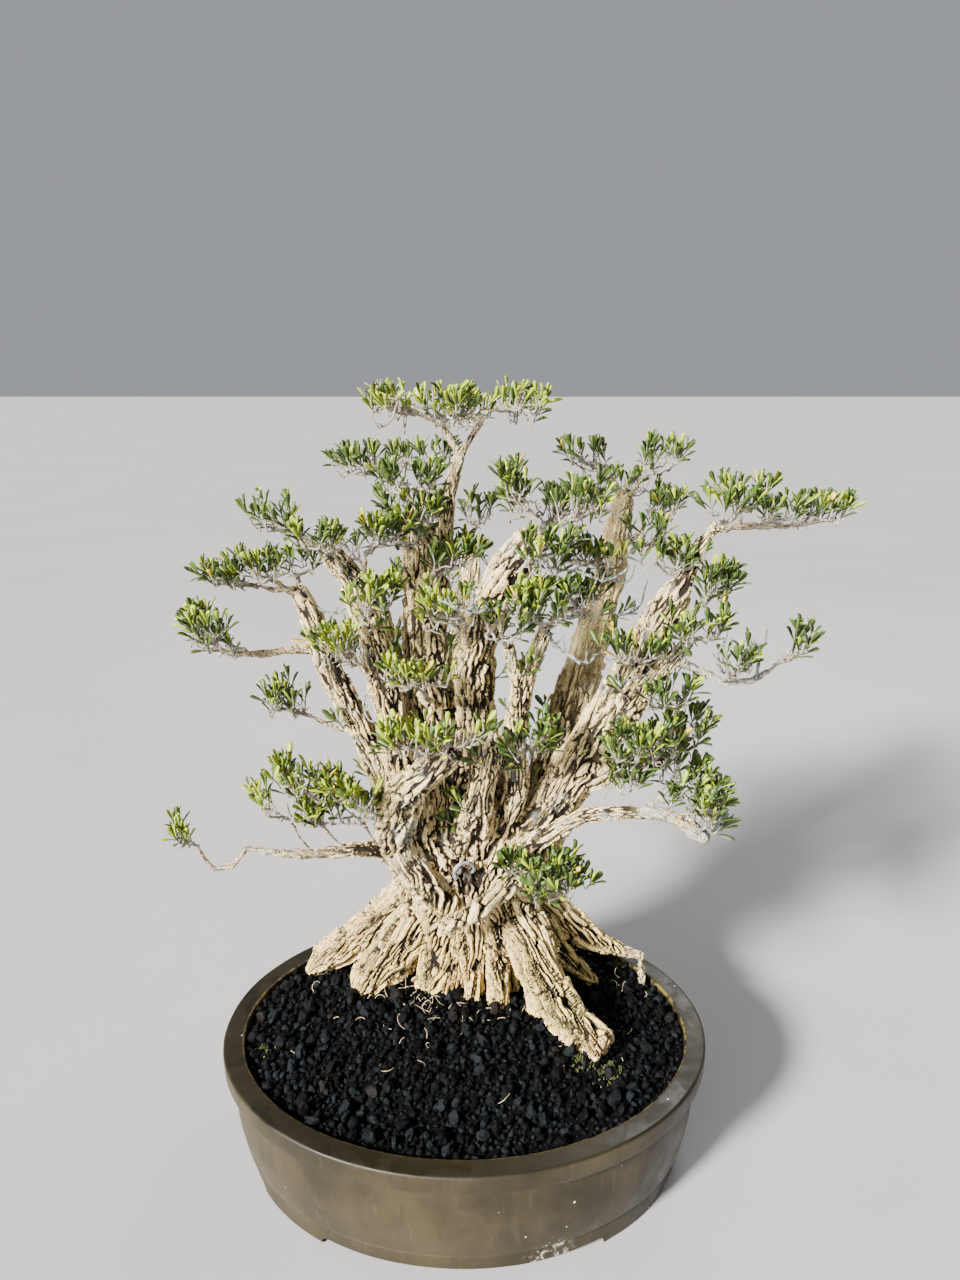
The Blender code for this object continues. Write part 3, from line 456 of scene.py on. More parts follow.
def relief(tree, shader, height, distance, strength=1.0):
    """Bumps the shader by a height over a real distance."""
    inputs = {"Strength": strength, "Distance": distance, "Height": height}
    bump = add_node(tree, "ShaderNodeBump", inputs)
    tree.links.new(bump.outputs["Normal"], shader.inputs["Normal"])


def ball_mask(tree, place, centre, reach):
    """1 inside a ball round a place on the object, and soft to 0 at its reach."""
    inputs = {0: place, 1: centre}
    away = add_node(tree, "ShaderNodeVectorMath", inputs, operation="DISTANCE").outputs["Value"]
    return band(tree, away, 0.45 * reach, reach, 1.0, 0.0)


def specks(tree, place, spacing, radius, share):
    """A mask of small round specks, on a given share of places one spacing apart."""
    cells = add_node(tree, "ShaderNodeTexVoronoi", {"Vector": place, "Scale": 1 / spacing})
    chance = add_node(tree, "ShaderNodeSeparateColor", {"Color": cells.outputs["Color"]}).outputs["Red"]
    chosen = calculate(tree, "LESS_THAN", chance, share)
    inside = band(tree, cells.outputs["Distance"], 0.6 * radius / spacing, radius / spacing, 1.0, 0.0)
    return times(tree, inside, chosen)


def stoneware():
    """Unglazed brown stoneware with smoke clouds, water marks, lime and a mossy inner rim."""
    material, tree, shader, place = new_material("Brown stoneware")
    height = coordinate(tree, place, "Z")
    # Smoke clouds, water marks and pale runs on the wall
    smoke = band(tree, cloudy(tree, place, 0.09, 4.0), 0.34, 0.68)
    colour = mix_colours(tree, smoke, STONEWARE_LIGHT, STONEWARE_DARK)
    stretched = {0: place, 1: RUN_STRETCH}
    squashed = add_node(tree, "ShaderNodeVectorMath", stretched, operation="MULTIPLY").outputs[0]
    run_marks = band(tree, cloudy(tree, squashed, 0.013, 3.0, 0.5), 0.50, 0.70, 0.0, 0.30)
    colour = mix_colours(tree, run_marks, colour, STONEWARE_DARK)
    pale_runs = band(tree, cloudy(tree, squashed, 0.007, 2.0, 0.5), 0.60, 0.74, 0.0, 0.22)
    colour = mix_colours(tree, pale_runs, colour, PALE_RUN)
    # The smoked lip, a darker band towards the foot, dark freckles and wet places on the lip
    lip_top = band(tree, height, POT_HEIGHT - 0.0022, POT_HEIGHT - 0.0004)
    lip_share = times(tree, lip_top, 0.85)
    colour = mix_colours(tree, lip_share, colour, LIP_TOP_COLOUR)
    darker_foot = times(tree, band(tree, height, 0.004, 0.030, 1.0, 0.0), 0.45)
    colour = mix_colours(tree, darker_foot, colour, STONEWARE_DARK)
    freckle = band(tree, cloudy(tree, place, 0.0016, 2.0), 0.58, 0.72)
    freckle_share = times(tree, freckle, 0.35)
    colour = mix_colours(tree, freckle_share, colour, LIP_TOP_COLOUR)
    water = band(tree, cloudy(tree, place, 0.045, 3.0, 0.5, 0.6), 0.52, 0.60)
    wet_share = times(tree, water, times(tree, lip_top, 0.55))
    colour = mix_colours(tree, wet_share, colour, WET_LIP)
    # Darker on the inner wall, and moss on the inside of the rim
    facing_in = mesh_value(tree, "facing_in")
    colour = mix_colours(tree, facing_in, colour, INNER_WALL_DARK)
    moss_height = band(tree, height, POT_HEIGHT - 0.0045, POT_HEIGHT - 0.0015)
    moss_place = band(tree, cloudy(tree, place, 0.010, 4.0, 0.7), 0.44, 0.58)
    moss_share = times(tree, times(tree, facing_in, moss_height), moss_place)
    colour = mix_colours(tree, moss_share, colour, RIM_MOSS)
    # Specks of lime, and a patch of it by the foot
    small_specks = specks(tree, place, 0.011, 0.0009, 0.16)
    lime = calculate(tree, "MAXIMUM", small_specks, specks(tree, place, 0.030, 0.0014, 0.10))
    patch_spots = band(tree, cloudy(tree, place, 0.005, 5.0, 0.7), 0.50, 0.66, 0.0, 0.7)
    scale_patch = times(tree, ball_mask(tree, place, LIME_PATCH, LIME_PATCH_REACH), patch_spots)
    lime = calculate(tree, "MAXIMUM", lime, scale_patch)
    colour = mix_colours(tree, lime, colour, LIME_COLOUR)
    # Satin skin that is smoother where it is wet
    satin = band(tree, cloudy(tree, place, 0.020, 4.0), 0.3, 0.7, 0.40, 0.55)
    roughness = calculate(tree, "SUBTRACT", satin, times(tree, wet_share, 0.25))
    tree.links.new(roughness, shader.inputs["Roughness"])
    tree.links.new(colour, shader.inputs["Base Color"])
    shader.inputs["Specular IOR Level"].default_value = 0.25
    grain = cloudy(tree, place, 0.0022, 4.0, 0.7)
    relief(tree, shader, calculate(tree, "ADD", grain, times(tree, lime, 0.8)), 0.00022, 0.6)
    return material


pot.data.materials.clear()
pot.data.materials.append(stoneware())
finish_piece(pot, ["pot"])

# Drain screens
# Two squares of black moulded plastic mesh, which keep the grit in the pot.
# They are laid over the drain holes before the soil goes in, and the soil holds them down.
SCREEN_BLACK = (0.012, 0.012, 0.012, 1.0)
SCREEN_DUST = (0.05, 0.045, 0.04, 1.0)
screen_material, tree, shader, place = new_material("Black plastic mesh")
dust = band(tree, cloudy(tree, place, 0.004), 0.45, 0.75)
coat(tree, shader, mix_colours(tree, dust, SCREEN_BLACK, SCREEN_DUST), 0.5)
relief(tree, shader, cloudy(tree, place, 0.0008), 0.0001)
for screen_name in ("drain_screen_left", "drain_screen_right"):
    screen = frame["nodes"][screen_name]
    screen.data.materials.clear()
    screen.data.materials.append(screen_material)

# Soil
# A bonsai mix of crushed black lava, sieved to 2 to 9 mm and mounded up to the trunk by hand.
# The fine dust between the grains is the CAD mound itself; the grains lie on it in one loose layer.
BLACK_LAVA = (0.0010, 0.0011, 0.0013, 1.0)
GREY_LAVA = (0.0070, 0.0092, 0.0115, 1.0)
RUSTY_LAVA = (0.0110, 0.0080, 0.0060, 1.0)
GRAIN_LAYERS = {
    "small_grit": {"faces": 12, "size": 0.0021, "gap": 0.0038, "sink": 0.30, "seed": 2},
    "fine_grit": {"faces": 20, "size": 0.0028, "gap": 0.0050, "sink": 0.75, "seed": 3},
    "coarse_grit": {"faces": 80, "size": 0.0043, "gap": 0.0098, "sink": 0.85, "seed": 8},
}
GRAIN_SHAPES = 6
GRAIN_STRETCH = np.array((1.0, 0.84, 0.70))
RIM_CLEARANCE = 0.0006
SAME_POINT = 0.00001
BED_LOWEST = 0.10


def lava(name, grain_tone):
    """Black lava; each grain's own tone, where it has one, makes it blacker, greyer or rusty."""
    material, tree, shader, place = new_material(name)
    if grain_tone:
        tone = mesh_value(tree, "tone")
    else:
        tone = cloudy(tree, place, 0.005)
    grey = band(tree, tone, 0.25, 1.0, 0.0, 1.0 if grain_tone else 0.1)
    colour = mix_colours(tree, grey, BLACK_LAVA, GREY_LAVA)
    colour = mix_colours(tree, band(tree, tone, 0.95, 0.97, 0.0, 0.6), colour, RUSTY_LAVA)
    pores = band(tree, cloudy(tree, place, 0.0007, 3.0), 0.35, 0.65, 0.55, 1.25)
    colour = mix_colours(tree, 1.0, colour, pores, "MULTIPLY")
    coat(tree, shader, colour, 0.70, 0.07)
    relief(tree, shader, cloudy(tree, place, 0.0009, 4.0, 0.7), 0.0005, 0.8)
    return material


def grain_shapes(name, faces, seed):
    """A few lumps of crushed stone, each a cube or ball pushed in and out by noise."""
    group = bpy.data.collections.new(name)
    for number in range(GRAIN_SHAPES):
        work = bmesh.new()
        if faces == 12:
            bmesh.ops.create_cube(work, size=1.3)
            bmesh.ops.triangulate(work, faces=work.faces)
        else:
            bmesh.ops.create_icosphere(work, subdivisions=1 if faces == 20 else 2, radius=1.0)
        mesh = mesh_from(work, name)
        points = mesh_points(mesh)
        swell = 1 + 0.36 * soft_noise(points, 0.9, seed + number)
        swell += 0.42 * soft_noise(points, 0.37, seed - number)
        stretch = GRAIN_STRETCH + 0.05 * (number - GRAIN_SHAPES / 2) * np.array((1, -1, 1))
        mesh.vertices.foreach_set("co", (points * swell[:, None] * stretch).ravel())
        shape = bpy.data.objects.new(name, mesh)
        group.objects.link(shape)
    return group


def node_tree_with(name, **sockets):
    """A geometry node tree with named inputs, and its group input and output sockets."""
    group = bpy.data.node_groups.new(name, "GeometryNodeTree")
    group.interface.new_socket("Geometry", in_out="OUTPUT", socket_type="NodeSocketGeometry")
    for socket_name, kind in {"Geometry": "Geometry", **sockets, "Material": "Material"}.items():
        group.interface.new_socket(socket_name, in_out="INPUT", socket_type="NodeSocket" + kind)
    return group, add_node(group, "NodeGroupInput").outputs, add_node(group, "NodeGroupOutput").inputs


def put_out(group, inputs, outputs, geometry):
    """Ends a geometry node tree: its mesh gets the material and goes out."""
    values = {"Geometry": geometry, "Material": inputs["Material"]}
    dressed = add_node(group, "GeometryNodeSetMaterial", values)
    group.links.new(dressed.outputs[0], outputs["Geometry"])
    return group


def run_nodes(thing, group, values):
    """Runs a geometry node tree on a thing with values for its named inputs, and keeps the plain mesh."""
    modifier = thing.modifiers.new(group.name, "NODES")
    modifier.node_group = group
    for item in group.interface.items_tree:
        if item.name in values and item.in_out == "INPUT":
            modifier[item.identifier] = values[item.name]
    apply_modifiers(thing)


def grain_scatter():
    """Scatters lumps over a bed: no two centres closer than a gap, each turned and sized at random."""
    group, inputs, outputs = node_tree_with(
        "Scatter grains",
        Gap="Float",
        Density="Float",
        Size="Float",
        Sink="Float",
        Seed="Int",
        Shapes="Collection",
    )
    points = add_node(
        group,
        "GeometryNodeDistributePointsOnFaces",
        {
            "Mesh": inputs["Geometry"],
            "Distance Min": inputs["Gap"],
            "Density Max": inputs["Density"],
            "Seed": inputs["Seed"],
        },
        distribute_method="POISSON",
    )
    chance = add_node(group, "FunctionNodeRandomValue", {"Seed": inputs["Seed"]}, data_type="FLOAT")
    skewed = calculate(group, "POWER", chance.outputs["Value"], 2.2)
    factor = add_node(group, "ShaderNodeMath", {0: skewed, 1: 0.95, 2: 0.62}, operation="MULTIPLY_ADD")
    scale = times(group, factor.outputs[0], inputs["Size"])
    any_turn = {"Min": (0.0, 0.0, 0.0), "Max": (6.28, 6.28, 6.28)}
    turn = add_node(group, "FunctionNodeRandomValue", any_turn, data_type="FLOAT_VECTOR")
    pieces = add_node(
        group, "GeometryNodeCollectionInfo", {"Collection": inputs["Shapes"], "Separate Children": True}
    )
    up = add_node(group, "ShaderNodeCombineXYZ", {"Z": times(group, scale, inputs["Sink"])})
    raised = add_node(
        group, "GeometryNodeSetPosition", {"Geometry": points.outputs["Points"], "Offset": up.outputs[0]}
    )
    placed = add_node(
        group,
        "GeometryNodeInstanceOnPoints",
        {
            "Points": raised.outputs[0],
            "Instance": pieces.outputs[0],
            "Pick Instance": True,
            "Rotation": turn.outputs["Value"],
            "Scale": scale,
        },
    )
    tone = add_node(group, "FunctionNodeRandomValue", {"Seed": 5}, data_type="FLOAT")
    toned = add_node(
        group,
        "GeometryNodeStoreNamedAttribute",
        {"Geometry": placed.outputs[0], "Name": "tone", "Value": tone.outputs[1]},
        data_type="FLOAT",
        domain="INSTANCE",
    )
    real = add_node(group, "GeometryNodeRealizeInstances", {"Geometry": toned.outputs[0]})
    return put_out(group, inputs, outputs, real.outputs[0])


def soil_bed():
    """The upper skin of the mound, as one open sheet for the grains to lie on."""
    work = bmesh.new()
    work.from_mesh(frame["nodes"]["soil"].data)
    bmesh.ops.remove_doubles(work, verts=work.verts, dist=SAME_POINT)
    under = [
        face for face in work.faces if face.normal.z < 0.5 or face.calc_center_median().z < BED_LOWEST
    ]
    bmesh.ops.delete(work, geom=under, context="FACES")
    return mesh_from(work, "Bed")


def inside_rim(points, clearance):
    """Which points lie inside the pot's inner wall, with some clearance."""
    wall_length = POT_LENGTH / 2 - LIP_WIDTH - clearance
    wall_width = POT_WIDTH / 2 - LIP_WIDTH - clearance
    across = (points[:, 0] - POT_CENTRE.x) / wall_length
    along = (points[:, 1] - POT_CENTRE.y) / wall_width
    return across**2 + along**2 < 1


soil = frame["nodes"]["soil"]
soil.data.materials.clear()
soil.data.materials.append(lava("Lava dust", False))
lava_grains = lava("Lava grains", True)
scatter = grain_scatter()
for grain_name, layer in GRAIN_LAYERS.items():
    grains = mesh_object(grain_name, soil_bed())
    shapes = grain_shapes(grain_name, layer["faces"], layer["seed"])
    values = {
        "Gap": layer["gap"],
        "Density": 4.0 / layer["gap"] ** 2,
        "Size": layer["size"],
        "Sink": layer["sink"],
        "Seed": layer["seed"],
        "Shapes": shapes,
        "Material": lava_grains,
    }
    run_nodes(grains, scatter, values)
    corners_each = len(shapes.objects[0].data.vertices)
    outside = np.flatnonzero(~inside_rim(mesh_points(grains.data), RIM_CLEARANCE))
    crossing = set(outside // corners_each)
    grain_work = bmesh.new()
    grain_work.from_mesh(grains.data)
    doomed = [corner for corner in grain_work.verts if corner.index // corners_each in crossing]
    bmesh.ops.delete(grain_work, geom=doomed, context="VERTS")
    grain_work.to_mesh(grains.data)
    grain_work.free()
    finish_piece(grains, [])

# Wood: trunk, roots, limbs and branchlets
# One clump of living wood. Its corky bark splits into long plates with dark fissures between them, and at
# the foot of the trunk it hangs in wavy upright ropes. The bark follows the way that each limb grew.
# The clump is shown as a base and its limbs, which meet in one level cut through the wood.
WOOD_VOXEL = 0.0011
WOOD_MOST_TRIANGLES = 172000
BASE_TOP = 0.330
BASE_OVERLAP = 0.0004
ROUNDING_STEPS = 32
ROUNDED_THICKNESS = 0.040
THICKNESS_RANGE = (0.003, 0.090)
THICKNESS_BLENDS = 6
CREASE_SHARE = 0.15
FLOW_SAMPLES = 12000
FLOW_NEIGHBOURS = 50
FLOW_BLENDS = 8
STREAK_TAPS = 9
PLATE_NEIGHBOURS = 44
FISSURE_WIDTHS = (0.0003, 0.0019)
FISSURE_DEPTHS = (0.0004, 0.0039)
GROUND_HEIGHTS = (0.118, 0.135)
CRAGGY_HEIGHT = 0.278
CRAGGY_REACH = 0.052
# Above this band the bark is smoother, and painted lighter: painted light on the upper limbs, which lie in
# the leaves' shade
SMOOTHER_AND_PAINTED_LIGHTER_ABOVE = (0.42, 0.54)
UP = np.array((0.0, 0.0, 1.0))
TRUNK_MIDDLE = np.array((-0.023, 0.028, 0.0))
ROPES_TOP = 0.275
ROPES_FULL = 0.225
LIMB_BALLS = 10
# Lengths of limb that the CAD tree lacks or holds too thin: x, y, z and radius along each
FRONT_STUB = (
    (-0.042, -0.057, 0.234, 0.0072),
    (-0.012, -0.049, 0.248, 0.0086),
    (0.018, -0.024, 0.261, 0.0090),
    (0.034, 0.002, 0.266, 0.0095),
)
LEFT_FLANK = (
    (-0.088, -0.012, 0.310, 0.0150),
    (-0.082, -0.016, 0.282, 0.0150),
    (-0.062, -0.022, 0.256, 0.0140),
    (-0.044, -0.022, 0.236, 0.0120),
)
LOW_RIGHT_KNOB = (
    (0.126, -0.052, 0.343, 0.0054),
    (0.146, -0.056, 0.341, 0.0060),
    (0.160, -0.057, 0.334, 0.0066),
    (0.177, -0.057, 0.321, 0.0068),
)
UPPER_LIMB = (
    (-0.064, 0.016, 0.570, 0.0145),
    (-0.061, 0.017, 0.548, 0.0165),
    (-0.058, 0.017, 0.522, 0.0160),
    (-0.054, 0.018, 0.494, 0.0150),
)
FRONT_HOLLOW = np.array((-0.0265, -0.012, 0.261))
HOLLOW_REACH = 0.022
HOLLOW_DEPTH = 0.013
SLIM_SHOULDER = np.array((0.163, -0.028, 0.562))
SLIM_REACH = 0.045
SLIM_DEPTH = 0.0035


def remeshed(mesh, voxel):
    """A closed even skin of small squares over a mesh."""
    thing = mesh_object("Skin", mesh)
    modifier = thing.modifiers.new("Skin", "REMESH")
    modifier.mode = "VOXEL"
    modifier.voxel_size = voxel
    apply_modifiers(thing)
    skin = thing.data
    bpy.data.objects.remove(thing)
    return skin


def merged_copy(node):
    """A CAD node's mesh with its loose triangles joined up."""
    work = bmesh.new()
    work.from_mesh(frame["nodes"][node].data)
    bmesh.ops.remove_doubles(work, verts=work.verts, dist=SAME_POINT)
    return mesh_from(work, node + " copy")


def surface_of(mesh):
    """A mesh's faces, ready to be searched for the nearest one or the first one that a ray meets."""
    corners = [vertex.co for vertex in mesh.vertices]
    return BVHTree.FromPolygons(corners, [polygon.vertices for polygon in mesh.polygons])


class Skin:
    """A mesh's points, normals and neighbours as arrays, for shaping it all at once."""

    def __init__(self, mesh):
        self.mesh = mesh
        edges = np.empty(2 * len(mesh.edges), dtype=np.int32)
        mesh.edges.foreach_get("vertices", edges)
        self.first, self.second = edges.reshape(-1, 2).T
        self.count = len(mesh.vertices)
        self.valence = np.bincount(edges, minlength=self.count)
        self.refresh()

    def refresh(self):
        self.points = mesh_points(self.mesh)
        self.normals = mesh_points(self.mesh, "normal")

    def average(self, values):
        """Each vertex's mean over its neighbours."""
        columns = []
        for column in values.reshape(self.count, -1).T:
            total = np.bincount(self.first, weights=column[self.second], minlength=self.count)
            total += np.bincount(self.second, weights=column[self.first], minlength=self.count)
            columns.append(total / self.valence)
        return np.array(columns).T.reshape(values.shape)

    def move(self, points):
        self.mesh.vertices.foreach_set("co", points.astype(np.float32).ravel())
        self.mesh.update()
        self.refresh()


def short_limb(route):
    """A short tapered limb with blunt ends, as overlapping balls for the skin to join up."""
    work = bmesh.new()
    for start, end in zip(route, route[1:]):
        for step in range(LIMB_BALLS + 1):
            mixed = Vector(start).lerp(Vector(end), step / LIMB_BALLS)
            ball = bmesh.ops.create_icosphere(work, subdivisions=2, radius=mixed.w)
            bmesh.ops.translate(work, vec=mixed.xyz, verts=ball["verts"])
    return mesh_from(work, "Stub")


def joined(meshes):
    """Several meshes' faces in one mesh."""
    work = bmesh.new()
    for mesh in meshes:
        work.from_mesh(mesh)
    return mesh_from(work, "Joined")


def round_off(skin, softness):
    """Rounds off the facets and edges of a skin, but keeps the creases between its limbs."""
    for _ in range(ROUNDING_STEPS // 4):
        points = skin.points
        for _ in range(4):
            pull = skin.average(points) - points
            hollow = (pull * skin.normals).sum(axis=1) > 0
            points = points + (softness * np.where(hollow, CREASE_SHARE, 1.0))[:, None] * pull
        skin.move(points)


def wood_thickness(skin, tree_surface):
    """How thick the wood is under each point, straight through it."""
    thickness = np.empty(skin.count)
    for index, (point, normal) in enumerate(zip(skin.points, skin.normals)):
        inward = -Vector(normal)
        hit, _, _, distance = tree_surface.ray_cast(Vector(point) + 0.0008 * inward, inward)
        thickness[index] = distance if hit else 0.004
    return np.clip(thickness, *THICKNESS_RANGE)


def growth_direction(skin):
    """The way the wood runs at each point: the direction in which its surface turns least."""
    chosen = np.random.default_rng(4).choice(skin.count, FLOW_SAMPLES, replace=False)
    finder = kdtree.KDTree(FLOW_SAMPLES)
    for number, index in enumerate(chosen):
        finder.insert(skin.points[index], number)
    finder.balance()
    neighbours = np.array(
        [[found[1] for found in finder.find_n(skin.points[index], FLOW_NEIGHBOURS)] for index in chosen]
    )
    normals = skin.normals[chosen][neighbours]
    spread = np.einsum("nki,nkj->nij", normals, normals)
    spread += 0.04 * FLOW_NEIGHBOURS * (np.eye(3) - np.outer(UP, UP))
    flow = np.linalg.eigh(spread)[1][:, :, 0]
    nearest = np.array([finder.find(point)[1] for point in skin.points])
    flow = flow[nearest]
    outward = skin.points - TRUNK_MIDDLE
    outward[:, 2] = 0.0
    outward /= np.linalg.norm(outward, axis=1)[:, None] + 1e-9
    flow *= np.where((flow * (0.4 * outward + UP)).sum(axis=1) < 0, -1.0, 1.0)[:, None]
    low_down = smooth_step(skin.points[:, 2], ROPES_TOP, ROPES_FULL)[:, None]
    flow = (1 - low_down) * flow + low_down * (UP - 0.9 * outward)
    for _ in range(FLOW_BLENDS):
        flow = 0.4 * flow + 0.6 * skin.average(flow)
    flow -= (flow * skin.normals).sum(axis=1)[:, None] * skin.normals
    return flow / (np.linalg.norm(flow, axis=1)[:, None] + 1e-9)


def streaks(points, flow, width, length, seed):
    """Noise drawn out along the wood: ridges of one width that run for about one length."""
    total = np.zeros(len(points))
    for tap in np.linspace(-0.5, 0.5, STREAK_TAPS):
        total += soft_noise(points + tap * length * flow, width, seed)
    return np.clip(2.2 * total / STREAK_TAPS, -1, 1)


def bark_plates(skin, flow, width, length, warp):
    """Each point's distance from its plate's border, the plate's tone, and how far up the plate it is."""
    draw = np.random.default_rng(11)
    share = WOOD_VOXEL**2 / (width * length)
    seeds = np.flatnonzero(draw.random(skin.count) < share)
    finder = kdtree.KDTree(len(seeds))
    for number, index in enumerate(seeds):
        finder.insert(skin.points[index], number)
    finder.balance()
    points = skin.points + warp
    found = np.array([[hit[1] for hit in finder.find_n(point, PLATE_NEIGHBOURS)] for point in points])
    apart = points[:, None, :] - skin.points[seeds][found]
    along = (apart * flow[:, None, :]).sum(axis=2)
    across = (apart**2).sum(axis=2) - along**2
    distance = across / width[:, None] ** 2 + along**2 / length[:, None] ** 2
    order = np.argsort(distance, axis=1)[:, :2]
    nearest = np.take_along_axis(distance, order, axis=1)
    owner, other = np.take_along_axis(found, order, axis=1).T
    between = skin.points[seeds][other] - skin.points[seeds][owner]
    between_along = (between * flow).sum(axis=1)
    between_across = np.maximum(0.0, (between**2).sum(axis=1) - between_along**2)
    steepness = np.sqrt(between_across / width**4 + between_along**2 / length**4)
    border = (nearest[:, 1] - nearest[:, 0]) / (2 * steepness + 1e-9)
    height_on_plate = np.take_along_axis(along, order[:, :1], axis=1)[:, 0] / length
    return border, draw.random(len(seeds))[owner], height_on_plate


def part_of(mesh, height, above):
    """The part of a closed mesh above or below a height, closed again by a flat face at the cut."""
    work = bmesh.new()
    work.from_mesh(mesh)
    everything = work.verts[:] + work.edges[:] + work.faces[:]
    sides = {"clear_inner": above, "clear_outer": not above}
    level = {"plane_co": (0, 0, height), "plane_no": (0, 0, 1)}
    cut_away = bmesh.ops.bisect_plane(work, geom=everything, **level, **sides)
    rim = [part for part in cut_away["geom_cut"] if isinstance(part, bmesh.types.BMEdge)]
    bmesh.ops.holes_fill(work, edges=rim, sides=0)
    return mesh_from(work, "Part")


def decimated(thing, most_triangles):
    modifier = thing.modifiers.new("Fewer faces", "DECIMATE")
    thing.data.calc_loop_triangles()
    modifier.ratio = min(1.0, most_triangles / len(thing.data.loop_triangles))
    apply_modifiers(thing)


def soft_vectors(points, size, seed):
    """Smooth noise in all three directions at each point."""
    return np.array([soft_noise(points, size, seed + axis) for axis in range(3)]).T


def raise_bark(skin, thickness, flow):
    """Raises plates, ropes and knobs on the smooth wood, and keeps on its points what the material needs."""
    # Where the bark hangs in ropes, where it is smoother or craggier, and where the wood is thick
    low_down = smooth_step(skin.points[:, 2], ROPES_TOP, ROPES_FULL)
    high_up = smooth_step(skin.points[:, 2], *SMOOTHER_AND_PAINTED_LIGHTER_ABOVE)
    craggy = smooth_step(np.abs(skin.points[:, 2] - CRAGGY_HEIGHT), CRAGGY_REACH, 0.5 * CRAGGY_REACH)
    heft = smooth_step(thickness, 0.006, 0.030)
    # Noise that makes the plates' borders wander, and ridges and fibres that run along the wood
    wander = soft_vectors(skin.points, 0.007, 20)
    jagged = soft_vectors(skin.points, 0.0028, 70)
    sway = soft_vectors(skin.points, 0.018, 40)
    lumps = soft_noise(skin.points, 0.032, 30)
    ridges = streaks(skin.points, flow, 0.0075, 0.030, 32)
    fibres = streaks(skin.points, flow, 0.0028, 0.014, 33)
    # The plates: broader on thick wood and longer in the ropes
    plate_width = np.clip(0.22 * thickness, 0.0025, 0.0053 - 0.0018 * low_down)
    plate_width *= (1 + 0.30 * lumps) * (1 + 0.20 * craggy)
    plate_length = plate_width * (7.0 + 8.0 * low_down)
    warp = plate_width[:, None] * (1 - 0.4 * low_down)[:, None] * (0.26 * wander + 0.16 * jagged)
    warp += 0.0026 * low_down[:, None] * sway
    border, plate_number, height_on_plate = bark_plates(skin, flow, plate_width, plate_length, warp)
    # The fissures between them, wide and narrow by turns
    gape = soft_noise(skin.points, 0.011, 51)
    crack_share = 0.30 - 0.02 * low_down + 0.08 * craggy - 0.04 * high_up
    crack_share *= 1 + (0.8 - 0.6 * low_down) * gape
    crack_width = np.clip(crack_share * plate_width, *FISSURE_WIDTHS)
    plate = smooth_step(border, 0.4 * crack_width, 1.4 * crack_width)
    dome = 1 - (1 - np.clip(2 * border / plate_width, 0, 1)) ** 2
    fissure_depth = np.clip(0.120 * thickness, *FISSURE_DEPTHS) * (1 + 0.4 * low_down + 0.4 * craggy)
    # How far each point stands out of the smooth wood: plates, ropes, and knobs on thin wood
    swelling = 0.0018 * heft * lumps * (1 - 0.6 * low_down) + 0.0020 * heft * ridges + 0.0006 * heft * fibres
    swelling += fissure_depth * (plate * (0.6 + 0.8 * plate_number) + 0.7 * plate * height_on_plate - 0.7)
    swelling += low_down * 0.0024 * (dome - 0.5)
    knobs = np.maximum(0.0, soft_noise(skin.points, 0.010, 61)) + 0.5 * soft_noise(skin.points, 0.004, 62)
    slender = smooth_step(thickness, 0.014, 0.006)
    swelling += slender * (0.0014 * knobs - 0.0005 + 0.0004 * soft_noise(skin.points, 0.0024, 63))
    swelling *= 0.3 + 0.7 * smooth_step(skin.points[:, 2], *GROUND_HEIGHTS)
    skin.move(skin.points + (swelling + 0.010 * thickness)[:, None] * skin.normals)
    add_attribute(skin.mesh, "plate", plate * (1 - 0.25 * low_down * (1 - dome)))
    add_attribute(skin.mesh, "tone", plate_number)
    add_attribute(skin.mesh, "heft", smooth_step(thickness, 0.004, 0.016))
    add_attribute(skin.mesh, "flow", flow)


tree_copy = merged_copy("tree")
tree_surface = surface_of(tree_copy)
additions = [short_limb(route) for route in (FRONT_STUB, LEFT_FLANK, LOW_RIGHT_KNOB, UPPER_LIMB)]
skin = Skin(remeshed(joined([tree_copy] + additions), WOOD_VOXEL))
thickness = wood_thickness(skin, tree_surface)
for _ in range(THICKNESS_BLENDS):
    thickness = skin.average(thickness)
round_off(skin, 0.7 * np.minimum(1.0, (thickness / ROUNDED_THICKNESS) ** 2))
for middle, reach, depth in (
    (FRONT_HOLLOW, HOLLOW_REACH, HOLLOW_DEPTH),
    (SLIM_SHOULDER, SLIM_REACH, SLIM_DEPTH),
):
    pressed_in = smooth_step(np.linalg.norm(skin.points - middle, axis=1), reach, 0.3 * reach)
    skin.move(skin.points - (depth * pressed_in)[:, None] * skin.normals)
raise_bark(skin, thickness, growth_direction(skin))
wood_pieces = {
    "wood_base": mesh_object("wood_base", part_of(skin.mesh, BASE_TOP + BASE_OVERLAP, False)),
    "wood_limbs": mesh_object("wood_limbs", part_of(skin.mesh, BASE_TOP - BASE_OVERLAP, True)),
}
for wood in wood_pieces.values():
    decimated(wood, WOOD_MOST_TRIANGLES)
    wood.data.shade_smooth()

BARK_CREAM = (0.840, 0.675, 0.335, 1.0)
BARK_TAN = (0.660, 0.465, 0.235, 1.0)
BARK_YELLOW = (0.880, 0.645, 0.225, 1.0)
BARK_RED = (0.400, 0.260, 0.180, 1.0)
BRANCH_TAN = (0.520, 0.430, 0.300, 1.0)
TORN_WOOD = (0.400, 0.220, 0.140, 1.0)
# The dark brown in the front hollow is painted shade
HOLLOW_PAINTED_SHADE = (0.105, 0.052, 0.035, 1.0)
FISSURE_COLOUR = (0.011, 0.007, 0.004, 1.0)
ALGAE_GREEN = (0.300, 0.320, 0.130, 1.0)
LICHEN_GREY = (0.400, 0.440, 0.420, 1.0)
LEFT_ROOT = (-0.136, 0.030, 0.161)
LEFT_ROOT_REACH = 0.075
SHELTERED_HEART = (0.008, 0.032, 0.350)
ROOT_END = (0.096, -0.088, 0.136)
ROOT_MIDDLE = (0.066, -0.062, 0.152)
HOLLOW_PLACE = (-0.0265, -0.004, 0.260)
LICHEN_KNOB = (0.176, -0.060, 0.321)
LICHEN_BRANCH = (0.186, -0.068, 0.466)
